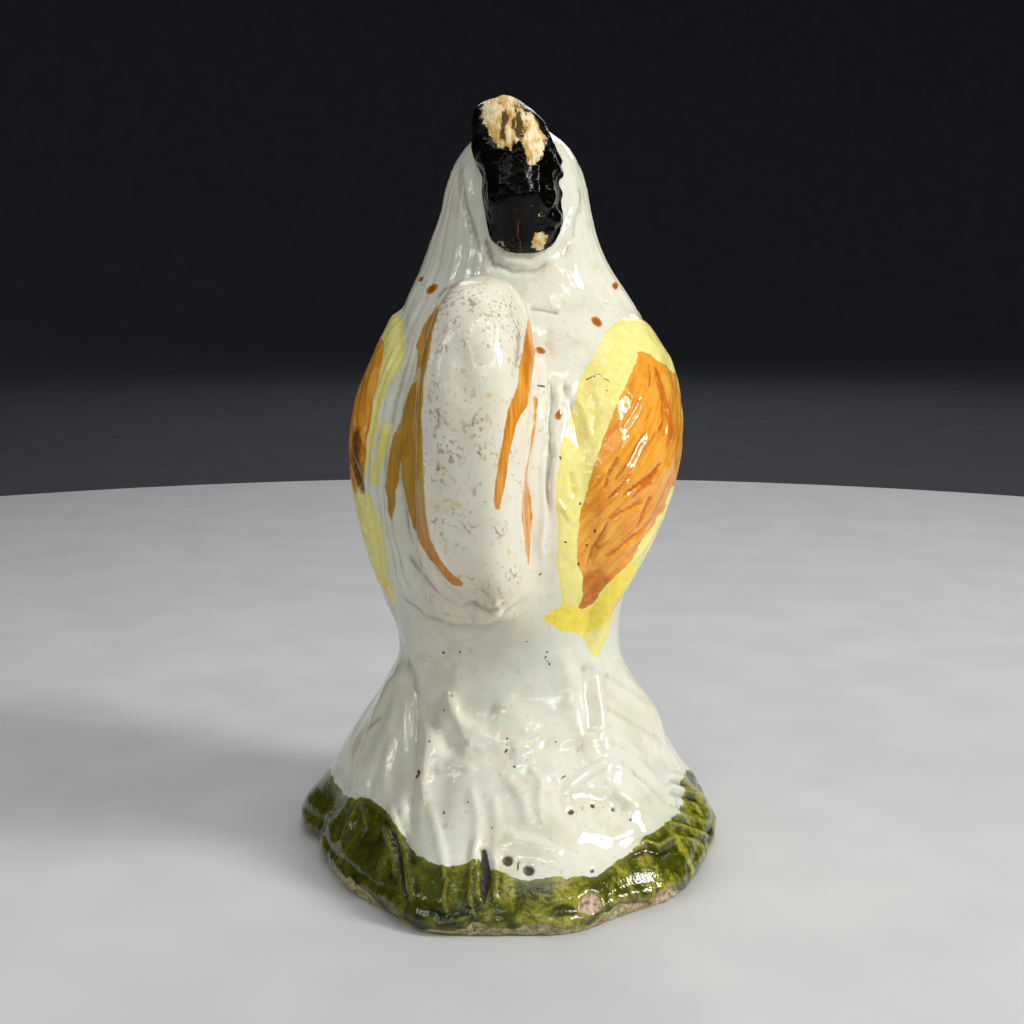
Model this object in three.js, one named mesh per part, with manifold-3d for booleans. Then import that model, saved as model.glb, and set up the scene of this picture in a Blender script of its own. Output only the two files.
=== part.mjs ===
// A small glazed pottery rooster on a rocky mound base, fired in one piece.
// Millimetres. +Z is up, +Y is the tail side, -Y the beak side, origin at the middle of the underside.
import * as THREE from 'three';
import { mergeVertices } from 'three/addons/utils/BufferGeometryUtils.js';
import Module from 'manifold-3d';

// ---------------------------------------------------------------- driving dimensions
const TOTAL_HEIGHT = 94.5;          // underside to the top of the comb
const BODY_TOP = 90.8;              // top of the skull, under the comb
const BODY_SEGMENTS = 64;           // facets round the figure
const RING_STEP = { base: 1.6, low: 2.3, body: 2.05 };

// profile of base, column, body and neck: height, half width, reach to the front, reach to the back
const LEVELS = [
  [0.0, 26.6, -31.2, 31.8], [1.6, 27.2, -31.9, 32.4], [3.6, 26.6, -31.2, 31.6], [5.8, 25.0, -28.8, 29.2],
  [8.5, 23.5, -25.8, 26.6], [12.0, 21.7, -22.0, 23.2], [16.0, 19.4, -18.4, 19.8], [20.0, 16.8, -15.4, 17.0],
  [24.0, 14.5, -13.2, 15.6], [28.0, 14.1, -12.8, 15.9], [32.0, 14.6, -13.8, 17.2], [36.0, 16.3, -16.2, 18.4],
  [42.0, 18.4, -19.2, 19.0], [50.0, 20.0, -22.0, 18.0], [56.0, 19.8, -22.6, 15.8], [62.0, 18.1, -21.6, 12.0],
  [68.0, 15.25, -19.2, 8.1], [74.0, 11.75, -16.6, 5.8], [80.0, 9.3, -14.9, 4.7], [86.0, 6.7, -12.6, 2.6],
  [89.0, 4.0, -10.2, -0.4], [BODY_TOP, 1.2, -6.4, -3.6],
];

// swellings and hollows round the rim of the base: angle (0 = +X, 90 = +Y), height, spread in degrees
const RIM_BUMPS = [
  [2, 1.05, 17], [26, -2.3, 9], [45, -2.3, 15], [69, -1.1, 12], [84, 1.4, 9], [96, 1.05, 10], [113, 1.95, 10],
  [126, 0.35, 10], [140, 1.15, 10], [152, 0.5, 11], [172, -0.4, 14], [200, -0.8, 14], [232, 0.7, 12], [262, -0.8, 12], [292, 0.6, 12], [322, -0.9, 13], [345, 0.4, 10],
];
// folds that run up the mound: angle at the foot, angle at the waist, height, spread in degrees
const FOLDS = [
  [66, 74, 0.9, 5], [40, 52, 0.8, 7], [18, 36, 0.9, 8], [150, 128, 0.6, 5], [168, 140, 0.7, 7],
  [195, 175, 0.7, 8], [225, 218, 0.9, 10], [262, 262, 0.8, 11], [300, 306, 0.9, 10], [338, 330, 0.8, 8],
];

// raised wings: a teardrop on each flank, from shoulder to tip, (angle, height, radius), mirrored for the +X side
const WINGS = [
  { side: -1, shoulder: [166, 54.6, 12.6], tip: [147, 29.0, 2.2], thickness: 1.15 },
  { side: 1, shoulder: [170, 55.0, 12.6], tip: [154, 30.0, 2.2], thickness: 0.75 },
];
const WING_EDGE = 3.8, WING_ARC_RADIUS = 17;

const HEAD = { centre: [0.2, -5.6, 81.7], radii: [8.3, 9.5, 9.8], blend: 3 };

const TAIL = {
  x: 0.15, y: 15, front: 5.6, back: 12.2, z: 52.1, halfHeight: 20.3, power: 2.6,
  halfWidth: 6.3, flareLeft: 4.0, flareRight: 0.9,
};

const COMB = {
  y: -2.4, z: 82.6, radius: 11.7, halfWidth: 4.3, from: -65, to: 150,
  leanZ: [70, 78, 84, 90, 94.5], leanX: [-1.7, -2.1, -1.7, -0.05, 1.7],
  lobes: [128, 97, 64, 30, -4, -36], lobeHeight: 0.55, lobeSpread: 12,
};

const BEAK = { root: [0.4, -12.2, 82.8], tip: [0.7, -21.0, 80.4], radius: 3.5, droop: 0.9 };
const WATTLE = { x: 0.5, apart: 2.3, y: -14.4, z: 74.9, radii: [2.1, 2.4, 4.5] };
const EYE = { x: 0.2, apart: 6.35, y: -11.4, z: 83.8, radii: [1.2, 1.5, 1.5] };
const LEG = { apart: 24, spread: 8.5, height: 1.5, from: 12, to: 36 };     // in low relief, degrees and mm
const TOE = { fan: [-13, 0, 13], spread: 3.6, height: 0.9, from: 6, to: 14 };

// ---------------------------------------------------------------- small functions
const DEG = Math.PI / 180;
const clamp = (v, a, b) => Math.min(Math.max(v, a), b);
const smooth = (a, b, x) => { const t = clamp((x - a) / (b - a), 0, 1); return t * t * (3 - 2 * t); };
const softMin = (a, b, k) => { const h = Math.max(k - Math.abs(a - b), 0) / k; return Math.min(a, b) - h * h * k * 0.25; };
const softMax = (a, b, k) => -softMin(-a, -b, k);
const wrap = (d) => ((d + 180) % 360 + 360) % 360 - 180;
const hump = (deg, centre, spread) => Math.exp(-((wrap(deg - centre) / spread) ** 2));

// smooth curve through a table's points, as a function of its first column
function curve(xs, ys) {
  const n = xs.length;
  const h = [], d = [];
  for (let i = 0; i < n - 1; i++) { h.push(xs[i + 1] - xs[i]); d.push((ys[i + 1] - ys[i]) / h[i]); }
  const m = [d[0]];
  for (let i = 1; i < n - 1; i++) m.push((d[i - 1] * h[i] + d[i] * h[i - 1]) / (h[i] + h[i - 1]));
  m.push(d[n - 2]);
  return (v) => {
    const x = clamp(v, xs[0], xs[n - 1]);
    let i = 0;
    while (i < n - 2 && x >= xs[i + 1]) i++;
    const t = (x - xs[i]) / h[i], t2 = t * t, t3 = t2 * t;
    return (2 * t3 - 3 * t2 + 1) * ys[i] + (t3 - 2 * t2 + t) * h[i] * m[i]
      + (-2 * t3 + 3 * t2) * ys[i + 1] + (t3 - t2) * h[i] * m[i + 1];
  };
}
const column = (c) => LEVELS.map((row) => row[c]);
const halfWidth = curve(column(0), column(1));
const frontReach = curve(column(0), column(2));
const backReach = curve(column(0), column(3));
const axisY = (z) => (frontReach(z) + backReach(z)) / 2;
const combLean = curve(COMB.leanZ, COMB.leanX);

function ellipsoid(x, y, z, c, r) {
  const [a, b, d] = [(x - c[0]) / r[0], (y - c[1]) / r[1], (z - c[2]) / r[2]];
  const k0 = Math.hypot(a, b, d), k1 = Math.hypot(a / r[0], b / r[1], d / r[2]) + 1e-9;
  return k0 * (k0 - 1) / k1;
}

// ---------------------------------------------------------------- the figure's surfaces (negative inside)
function wingEdge(deg, z, wing) {
  let a = wing.side < 0 ? deg : 180 - deg;
  if (a < 0) a += 360;
  const [a0, z0, r0] = wing.shoulder, [a1, z1, r1] = wing.tip;
  const k = DEG * WING_ARC_RADIUS;
  const px = (a - a0) * k, pz = z - z0, dx = (a1 - a0) * k, dz = z1 - z0;
  const t = clamp((px * dx + pz * dz) / (dx * dx + dz * dz), 0, 1);
  return Math.hypot(px - t * dx, pz - t * dz) - (r0 + (r1 - r0) * t ** 1.15);
}

function bodySurface(x, y, z) {
  const a = halfWidth(z), yf = frontReach(z), yb = backReach(z);
  const yc = (yf + yb) / 2, b = (yb - yf) / 2;
  const xs = x - 0.75 * smooth(62, 75, z);
  const n = 2 + 0.25 * smooth(20, 34, z) * (1 - smooth(60, 72, z));
  const rho = (Math.abs(xs / a) ** n + Math.abs((y - yc) / b) ** n) ** (1 / n);
  let d = (rho - 1) * Math.min(a, b);
  const deg = (Math.atan2(y - yc, xs) / DEG + 360) % 360;
  let rim = 0, fold = 0;
  for (const [c, h, s] of RIM_BUMPS) rim += h * hump(deg, c, s);
  d -= rim * (1 - smooth(2, 22, z));
  const t = clamp(z / 24, 0, 1);
  for (const [c0, c1, h, s] of FOLDS) fold += h * hump(deg, c0 + (c1 - c0) * t, s * (0.8 + 0.6 * t));
  d -= (fold - 0.35) * smooth(3, 9, z) * (1 - smooth(19, 29, z));
  d += 1.1 * hump(deg, 178, 40) * smooth(2, 7, z) * (1 - smooth(12, 18, z));
  for (const side of [-1, 1]) {
    const c = 270 + side * LEG.apart;
    d -= LEG.height * hump(deg, c, LEG.spread) * smooth(LEG.from - 2, LEG.from + 3, z) * (1 - smooth(LEG.to - 7, LEG.to, z));
    for (const toe of TOE.fan) {
      const lean = toe * (TOE.to - z) / (TOE.to - TOE.from);
      d -= TOE.height * hump(deg, c + lean, TOE.spread) * smooth(TOE.from - 1.5, TOE.from + 1, z) * (1 - smooth(TOE.to - 3, TOE.to, z));
    }
  }
  for (const wing of WINGS) d -= wing.thickness * smooth(0, WING_EDGE, -wingEdge(deg, z, wing));
  return softMin(d, ellipsoid(x, y, z, HEAD.centre, HEAD.radii), HEAD.blend);
}

function tailSurface(x, y, z) {
  const reach = y > TAIL.y ? TAIL.back : TAIL.front;
  const t = (z - TAIL.z) / TAIL.halfHeight;
  const q = (Math.abs((y - TAIL.y) / reach) ** TAIL.power + Math.abs(t) ** TAIL.power) ** (1 / TAIL.power);
  const xs = x - TAIL.x;
  const flare = (xs > 0 ? TAIL.flareLeft : TAIL.flareRight) * smooth(0, 3, Math.abs(xs));
  const w = TAIL.halfWidth - 1.1 * smooth(0.1, 1, t) - 0.3 * smooth(0.3, 1, -t);
  const side = Math.abs(xs) - w - flare * (1 - smooth(12, 23, y)) * (1 - smooth(0.25, 0.75, t)) * (1 - smooth(0.5, 0.95, -t));
  return softMax((q - 1) * 11, side, 5 - 1.2 * smooth(0.4, 0.9, -t));
}

function combSurface(x, y, z) {
  const back = smooth(-22, 0, y);
  const dy = y - COMB.y, dz = z - COMB.z;
  let ph = Math.atan2(dz, dy) / DEG;                        // 0 towards the tail, 90 up
  if (ph < -120) ph += 360;
  let lobe = 0;
  for (const c of COMB.lobes) lobe += COMB.lobeHeight * hump(ph, c, COMB.lobeSpread);
  const ring = Math.hypot(dy, dz) - (COMB.radius - 0.35 + lobe + 0.8 * smooth(95, 150, ph) - 1.0 * smooth(0, 60, -ph));
  const w = COMB.halfWidth - 0.15 + 0.5 * lobe + 0.5 * smooth(10, 40, ph) * (1 - smooth(60, 90, ph)) - 1.9 * smooth(62, 132, ph);
  const side = Math.abs(x - combLean(z) * back - 1.0 * (1 - back)) - w;
  const ends = Math.max((COMB.from - ph) * DEG * 11, (ph - COMB.to) * DEG * 11);
  return softMax(softMax(ring, side, 5.2), ends, 5);
}

// ---------------------------------------------------------------- shaping geometry onto those surfaces
// the vertices of a geometry slide along straight lines, from a point inside, to where the surface is
function slideTo(geometry, surface, startOf, reach, least = 0) {
  const pos = geometry.attributes.position;
  const p = new THREE.Vector3(), dir = new THREE.Vector3();
  for (let i = 0; i < pos.count; i++) {
    p.fromBufferAttribute(pos, i);
    const start = startOf(p);
    dir.subVectors(p, start);
    if (dir.length() < 1e-6) continue;
    dir.normalize();
    let lo = least, hi = reach;
    for (let k = 0; k < 26; k++) {
      const mid = (lo + hi) / 2;
      if (surface(start.x + dir.x * mid, start.y + dir.y * mid, start.z + dir.z * mid) < 0) lo = mid; else hi = mid;
    }
    pos.setXYZ(i, start.x + dir.x * hi, start.y + dir.y * hi, start.z + dir.z * hi);
  }
  return geometry;
}

const wasm = await Module();
wasm.setup();
function toSolid(geometry) {
  const g = geometry.clone();
  for (const name of Object.keys(g.attributes)) if (name !== 'position') g.deleteAttribute(name);
  const merged = mergeVertices(g, 1e-5);
  const index = merged.index.array, keep = [];
  for (let i = 0; i < index.length; i += 3) {
    const [a, b, c] = [index[i], index[i + 1], index[i + 2]];
    if (a !== b && b !== c && c !== a) keep.push(a, b, c);
  }
  return new wasm.Manifold(new wasm.Mesh({
    numProp: 3,
    vertProperties: new Float32Array(merged.attributes.position.array),
    triVerts: new Uint32Array(keep),
  }));
}

// base, column, body, neck and skull: a turned form, its rings slid out to the surface
function bodySolid() {
  const heights = [0];
  while (heights.at(-1) < 9) heights.push(heights.at(-1) + RING_STEP.base);
  while (heights.at(-1) < 30) heights.push(heights.at(-1) + RING_STEP.low);
  while (heights.at(-1) < BODY_TOP - 2.2) heights.push(heights.at(-1) + RING_STEP.body);
  heights.push(BODY_TOP - 0.45);
  const profile = [new THREE.Vector2(0, 0), ...heights.map((z) => new THREE.Vector2(halfWidth(z), z)), new THREE.Vector2(0, BODY_TOP + 0.1)];
  const turned = new THREE.LatheGeometry(profile, BODY_SEGMENTS).rotateX(Math.PI / 2);
  const pos = turned.attributes.position;
  for (let i = 0; i < pos.count; i++) {
    // the rings are set about the body's own axis, which leans forward in the neck
    const r = Math.hypot(pos.getX(i), pos.getY(i)), z = pos.getZ(i);
    if (r < 1e-6) { pos.setXYZ(i, 0.2, axisY(z), z); continue; }
    pos.setY(i, pos.getY(i) + axisY(z));
  }
  const centre = new THREE.Vector3();
  return toSolid(slideTo(turned, bodySurface, (p) => {
    const cx = 0.2 * smooth(0, 1, p.z), cy = axisY(p.z);
    if (Math.hypot(p.x - cx, p.y - cy) < 0.25) return centre.copy(p);
    return centre.set(0, cy, p.z);
  }, 45));
}

function tailSolid() {
  const g = new THREE.SphereGeometry(1, 30, 22).rotateX(Math.PI / 2).scale(6.5, 9, TAIL.halfHeight);
  const centre = new THREE.Vector3(TAIL.x, TAIL.y + 2, TAIL.z);
  g.translate(centre.x, centre.y, centre.z);
  return toSolid(slideTo(g, tailSurface, () => centre, 40));
}

function combSolid() {
  const g = new THREE.SphereGeometry(1, 44, 14).rotateZ(Math.PI / 2).scale(6.5, 11, 11);
  const centre = new THREE.Vector3(-1.0, COMB.y, COMB.z);
  g.translate(centre.x, centre.y, centre.z);
  return toSolid(slideTo(g, combSurface, () => centre, 20, 3.4));
}

// a beak that tapers to a rounded point and droops a little
function beakSolid() {
  const root = new THREE.Vector3(...BEAK.root), tip = new THREE.Vector3(...BEAK.tip);
  const length = root.distanceTo(tip), steps = 8;
  const profile = [new THREE.Vector2(0, -2), new THREE.Vector2(BEAK.radius, -2)];
  for (let i = 0; i <= steps; i++) {
    const t = i / steps;
    profile.push(new THREE.Vector2(BEAK.radius * Math.sqrt(1 - t ** 1.7) * (1 - 0.35 * t) + 1e-9, length * t));
  }
  profile[profile.length - 1].x = 0;
  const g = new THREE.LatheGeometry(profile, 16);
  g.scale(0.82, 1, 1);
  const pos = g.attributes.position;
  for (let i = 0; i < pos.count; i++) {
    const t = clamp(pos.getY(i) / length, 0, 1);
    pos.setZ(i, pos.getZ(i) - BEAK.droop * t * t);
  }
  const along = new THREE.Vector3().subVectors(tip, root).normalize();
  const right = new THREE.Vector3(1, 0, 0);
  const up = new THREE.Vector3().crossVectors(right, along).normalize();
  right.crossVectors(along, up).normalize();
  g.applyMatrix4(new THREE.Matrix4().makeBasis(right, along, up));
  g.translate(root.x, root.y, root.z);
  return toSolid(g);
}

const ball = (radii, at, across = 16, down = 12) =>
  toSolid(new THREE.SphereGeometry(1, across, down).rotateX(Math.PI / 2).scale(...radii).translate(...at));

// ---------------------------------------------------------------- one fired piece
const pieces = [
  bodySolid(), tailSolid(), combSolid(), beakSolid(),
  ball(WATTLE.radii, [WATTLE.x - WATTLE.apart, WATTLE.y, WATTLE.z], 12, 10),
  ball(WATTLE.radii, [WATTLE.x + WATTLE.apart, WATTLE.y, WATTLE.z], 12, 10),
  ball(EYE.radii, [EYE.x - EYE.apart, EYE.y, EYE.z], 10, 8),
  ball(EYE.radii, [EYE.x + EYE.apart, EYE.y, EYE.z], 10, 8),
];
let solid = pieces[0];
for (const piece of pieces.slice(1)) solid = solid.add(piece);

const out = solid.getMesh();
const geometry = new THREE.BufferGeometry();
geometry.setAttribute('position', new THREE.BufferAttribute(new Float32Array(out.vertProperties), 3));
geometry.setIndex(new THREE.BufferAttribute(new Uint32Array(out.triVerts), 1));

// the comb's crest sets the height, and the origin is the middle of the underside's box
geometry.computeBoundingBox();
const box = geometry.boundingBox;
geometry.translate(-(box.min.x + box.max.x) / 2, -(box.min.y + box.max.y) / 2, 0);
geometry.scale(1, 1, TOTAL_HEIGHT / box.max.z);
geometry.computeVertexNormals();

const glaze = new THREE.MeshStandardMaterial({ color: 0xe9e6da, roughness: 0.14, metalness: 0 });
const rooster = new THREE.Mesh(geometry, glaze);
rooster.name = 'rooster_figurine';

const figurine = new THREE.Group();
figurine.add(rooster);
export default figurine;
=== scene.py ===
import math

import bpy
import numpy as np
from mathutils import Matrix, Vector


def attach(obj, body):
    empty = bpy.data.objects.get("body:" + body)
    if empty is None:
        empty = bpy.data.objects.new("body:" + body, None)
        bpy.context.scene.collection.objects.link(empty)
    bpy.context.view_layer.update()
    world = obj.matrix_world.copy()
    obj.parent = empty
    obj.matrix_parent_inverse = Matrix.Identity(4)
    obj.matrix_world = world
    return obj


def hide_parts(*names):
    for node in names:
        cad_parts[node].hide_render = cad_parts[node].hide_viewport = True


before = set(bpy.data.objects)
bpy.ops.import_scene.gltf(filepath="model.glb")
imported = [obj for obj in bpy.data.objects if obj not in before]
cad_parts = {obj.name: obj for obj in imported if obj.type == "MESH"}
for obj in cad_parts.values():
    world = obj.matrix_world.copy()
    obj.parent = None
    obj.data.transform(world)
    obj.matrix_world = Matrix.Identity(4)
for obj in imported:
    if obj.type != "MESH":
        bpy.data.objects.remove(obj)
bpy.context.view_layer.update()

# A glazed pottery rooster on a mound base, one fired piece. Shapes are worked out in millimetres in a frame whose
# Z axis runs up through the figure, and the finished mesh is centred on its base and scaled to metres at the end.
PI = math.pi
TOTAL_H = 94.5
STEP = 0.70          # grid of the plain side, in mm; the worked side is twice as fine

# ------------------------------------------------------------------------------------------------ the main view
F_PX, CAM_PITCH, CAM_AZ = 1500.0, math.radians(9.16), math.radians(12.0)
CAM_H, CAM_D = 73.0, 190.0
CAM_POS = np.array([-CAM_D * math.sin(CAM_AZ), CAM_D * math.cos(CAM_AZ), CAM_H])


def view_xy(p):
    """Where points stand in the main view, in its 1024 x 1024 frame."""
    x, y, z = p[:, 0], p[:, 1], p[:, 2]
    u = -x * math.cos(CAM_AZ) - y * math.sin(CAM_AZ)
    d = CAM_D + x * math.sin(CAM_AZ) - y * math.cos(CAM_AZ)
    h = z - CAM_H
    zc = d * math.cos(CAM_PITCH) - h * math.sin(CAM_PITCH)
    yc = h * math.cos(CAM_PITCH) + d * math.sin(CAM_PITCH)
    return 512 + F_PX * u / zc, 512 - F_PX * yc / zc


# ------------------------------------------------------------------------------------------------ small functions
def smin(a, b, k):
    h = np.maximum(k - np.abs(a - b), 0.0) / k
    return np.minimum(a, b) - h * h * k * 0.25


def smax(a, b, k):
    return -smin(-a, -b, k)


def smooth(e0, e1, x):
    t = np.clip((x - e0) / (e1 - e0), 0, 1)
    return t * t * (3 - 2 * t)


def wrap(d):
    return (d + 180) % 360 - 180


def hump(deg, c, s):
    return np.exp(-(wrap(deg - c) / s) ** 2)


def pchip(xk, yk, x):
    xk, yk = np.asarray(xk, float), np.asarray(yk, float)
    h = np.diff(xk)
    d = np.diff(yk) / h
    m = np.zeros_like(yk)
    m[0], m[-1] = d[0], d[-1]
    m[1:-1] = (d[:-1] * h[1:] + d[1:] * h[:-1]) / (h[1:] + h[:-1])
    x = np.clip(x, xk[0], xk[-1])
    i = np.clip(np.searchsorted(xk, x, side='right') - 1, 0, len(h) - 1)
    t = (x - xk[i]) / h[i]
    t2, t3 = t * t, t * t * t
    return ((2 * t3 - 3 * t2 + 1) * yk[i] + (t3 - 2 * t2 + t) * h[i] * m[i]
            + (-2 * t3 + 3 * t2) * yk[i + 1] + (t3 - t2) * h[i] * m[i + 1])


_lattice = np.random.RandomState(11).rand(48, 48, 48)


def vnoise(p, scale, seed=0):
    """Smooth value noise between -1 and 1; scale is the size of its features in mm (one number or three)."""
    q = p / np.asarray(scale, float) + np.array([17.3, 31.7, 5.1]) * (seed + 1)
    i = np.floor(q).astype(int)
    f = q - i
    f = f * f * f * (f * (f * 6 - 15) + 10)
    out = 0
    for a in (0, 1):
        for b in (0, 1):
            for c in (0, 1):
                w = (f[:, 0] if a else 1 - f[:, 0]) * (f[:, 1] if b else 1 - f[:, 1]) * (f[:, 2] if c else 1 - f[:, 2])
                out = out + w * _lattice[(i[:, 0] + a) % 48, (i[:, 1] + b) % 48, (i[:, 2] + c) % 48]
    return out * 2 - 1


def along(x, y, pts):
    """Distance to a line through pts, and how far along it, 0 to 1. pts: (x, y) rows."""
    pts = np.asarray(pts, float)
    seg = np.diff(pts[:, :2], axis=0)
    ln = np.hypot(seg[:, 0], seg[:, 1])
    at = np.concatenate([[0], np.cumsum(ln)])
    best, where = np.full(x.shape, 1e9), np.zeros(x.shape)
    for k in range(len(seg)):
        t = np.clip(((x - pts[k, 0]) * seg[k, 0] + (y - pts[k, 1]) * seg[k, 1]) / (ln[k] ** 2), 0, 1)
        d = np.hypot(x - pts[k, 0] - t * seg[k, 0], y - pts[k, 1] - t * seg[k, 1])
        m = d < best
        best[m], where[m] = d[m], ((at[k] + t * ln[k]) / at[-1])[m]
    return best, where


def inside(x, y, poly):
    """Signed distance to a closed outline, positive inside."""
    poly = np.asarray(poly, float)
    nxt = np.roll(poly, -1, axis=0)
    d, odd = np.full(x.shape, 1e9), np.zeros(x.shape, bool)
    for (ax, ay), (bx, by) in zip(poly, nxt):
        ex, ey = bx - ax, by - ay
        t = np.clip(((x - ax) * ex + (y - ay) * ey) / (ex * ex + ey * ey), 0, 1)
        d = np.minimum(d, np.hypot(x - ax - t * ex, y - ay - t * ey))
        if ey != 0:
            odd ^= ((ay > y) != (by > y)) & (x < (bx - ax) * (y - ay) / ey + ax)
    return np.where(odd, d, -d)


def stroke(x, y, pts):
    """Signed distance to a brush stroke, positive inside. pts: (x, y, half width) rows."""
    pts = np.asarray(pts, float)
    best = np.full(x.shape, -1e9)
    for (ax, ay, aw), (bx, by, bw) in zip(pts[:-1], pts[1:]):
        ex, ey = bx - ax, by - ay
        t = np.clip(((x - ax) * ex + (y - ay) * ey) / (ex * ex + ey * ey), 0, 1)
        best = np.maximum(best, aw + (bw - aw) * t - np.hypot(x - ax - t * ex, y - ay - t * ey))
    return best


# ------------------------------------------------------------------------------------------------ the main form
# height, half width, reach to the front, reach to the back
LEVELS = np.array([
    (0.0, 26.6, -31.2, 31.8), (1.6, 27.2, -31.9, 32.4), (3.6, 26.6, -31.2, 31.6), (5.8, 25.0, -28.8, 29.2),
    (8.5, 23.5, -25.8, 26.6), (12.0, 21.7, -22.0, 23.2), (16.0, 19.4, -18.4, 19.8), (20.0, 16.8, -15.4, 17.0),
    (24.0, 14.5, -13.2, 15.6), (28.0, 14.1, -12.8, 15.9), (32.0, 14.6, -13.8, 17.2), (36.0, 16.3, -16.2, 18.4),
    (42.0, 18.4, -19.2, 19.0), (50.0, 20.0, -22.0, 18.0), (56.0, 19.8, -22.6, 15.8), (62.0, 18.1, -21.6, 12.0),
    (68.0, 15.25, -19.2, 8.1), (74.0, 11.75, -16.6, 5.8), (80.0, 9.3, -14.9, 4.7), (86.0, 6.7, -12.6, 2.6),
    (89.0, 4.0, -10.2, -0.4), (90.8, 1.2, -6.4, -3.6)])
RIM_BUMPS = [(2, 1.05, 17), (26, -2.3, 9), (45, -2.3, 15), (69, -1.1, 12), (84, 1.4, 9), (96, 1.05, 10), (113, 1.95, 10),
             (126, 0.35, 10), (140, 1.15, 10), (152, 0.5, 11), (172, -0.4, 14), (200, -0.8, 14), (232, 0.7, 12), (262, -0.8, 12), (292, 0.6, 12), (322, -0.9, 13), (345, 0.4, 10)]
FOLDS = [(66, 74, 0.9, 5), (40, 52, 0.8, 7), (18, 36, 0.9, 8), (150, 128, 0.6, 5), (168, 140, 0.7, 7),
         (195, 175, 0.7, 8), (225, 218, 0.9, 10), (262, 262, 0.8, 11), (300, 306, 0.9, 10), (338, 330, 0.8, 8)]
WINGS = {-1: ((166, 54.6, 12.6), (147, 29.0, 2.2)), 1: ((170, 55.0, 12.6), (154, 30.0, 2.2))}
WING_T, WING_EDGE, ARC = {-1: 1.15, 1: 0.75}, 3.8, PI / 180 * 17
LEG = dict(apart=24, spread=8.5, height=1.5, lo=12, hi=36)
TOE = dict(fan=(-13, 0, 13), spread=3.6, height=0.9, lo=6, hi=14)
HEAD_C, HEAD_R = (0.2, -5.6, 81.7), (8.3, 9.5, 9.8)
TAIL_X, TAIL_Y, TAIL_FRONT, TAIL_BACK, TAIL_Z, TAIL_RZ, TAIL_N, TAIL_W = 0.15, 15.0, 5.6, 12.2, 52.1, 20.3, 2.6, 6.3
TAIL_FLARE = (0.9, 4.0)
COMB_C, COMB_R, COMB_W, COMB_FROM, COMB_TO = (-2.4, 82.6), 11.7, 4.3, -65, 150
COMB_Z, COMB_X = (70.0, 78.0, 84.0, 90.0, 94.5), (-1.7, -2.1, -1.7, -0.05, 1.7)
COMB_LOBES = (128, 97, 64, 30, -4, -36)


def axis_y(z):
    return (pchip(LEVELS[:, 0], LEVELS[:, 2], z) + pchip(LEVELS[:, 0], LEVELS[:, 3], z)) / 2


def body_deg(x, y, z):
    return np.degrees(np.arctan2(y - axis_y(z), x - 0.75 * smooth(62, 75, z))) % 360


def mirror_deg(deg, side):
    return deg if side < 0 else (180 - deg) % 360


def wing_edge(deg, z, side):
    (a0, z0, r0), (a1, z1, r1) = WINGS[side]
    a = mirror_deg(deg, side)
    px, pz, dx, dz = (a - a0) * ARC, z - z0, (a1 - a0) * ARC, z1 - z0
    t = np.clip((px * dx + pz * dz) / (dx * dx + dz * dz), 0, 1)
    return np.hypot(px - t * dx, pz - t * dz) - (r0 + (r1 - r0) * t ** 1.15)


def f_body(x, y, z):
    a = pchip(LEVELS[:, 0], LEVELS[:, 1], z)
    yf, yb = pchip(LEVELS[:, 0], LEVELS[:, 2], z), pchip(LEVELS[:, 0], LEVELS[:, 3], z)
    yc, b = (yf + yb) / 2, (yb - yf) / 2
    xs = x - 0.75 * smooth(62, 75, z)
    n = 2.0 + 0.25 * smooth(20, 34, z) * (1 - smooth(60, 72, z))
    rho = (np.abs(xs / a) ** n + np.abs((y - yc) / b) ** n) ** (1 / n)
    d = (rho - 1) * np.minimum(a, b)
    deg = np.degrees(np.arctan2(y - yc, xs)) % 360
    low = z < 31
    dl, zl = deg[low], z[low]
    w = 0
    for c, h, s in RIM_BUMPS:
        w = w + h * hump(dl, c, s)
    cut = -w * (1 - smooth(2, 22, zl))
    w, t = 0, np.clip(zl / 24, 0, 1)
    for c0, c1, h, s in FOLDS:
        w = w + h * hump(dl, c0 + (c1 - c0) * t, s * (0.8 + 0.6 * t))
    cut = cut - (w - 0.35) * smooth(3, 9, zl) * (1 - smooth(19, 29, zl))
    cut = cut + 1.1 * hump(dl, 178, 40) * smooth(2, 7, zl) * (1 - smooth(12, 18, zl))
    d[low] += cut
    for side in (-1, 1):
        c = 270 + side * LEG['apart']
        d = d - LEG['height'] * hump(deg, c, LEG['spread']) * smooth(LEG['lo'] - 2, LEG['lo'] + 3, z) * (1 - smooth(LEG['hi'] - 7, LEG['hi'], z))
        for toe in TOE['fan']:
            lean = toe * (TOE['hi'] - z) / (TOE['hi'] - TOE['lo'])
            d = d - TOE['height'] * hump(deg, c + lean, TOE['spread']) * smooth(TOE['lo'] - 1.5, TOE['lo'] + 1, z) * (1 - smooth(TOE['hi'] - 3, TOE['hi'], z))
    for side in (-1, 1):
        d = d - WING_T[side] * smooth(0, WING_EDGE, -wing_edge(deg, z, side))
    return np.maximum(d, z - LEVELS[-1, 0])


def ellipsoid(x, y, z, c, r):
    k0 = np.sqrt(((x - c[0]) / r[0]) ** 2 + ((y - c[1]) / r[1]) ** 2 + ((z - c[2]) / r[2]) ** 2)
    k1 = np.sqrt(((x - c[0]) / r[0] ** 2) ** 2 + ((y - c[1]) / r[1] ** 2) ** 2 + ((z - c[2]) / r[2] ** 2) ** 2) + 1e-9
    return k0 * (k0 - 1) / k1


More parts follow.
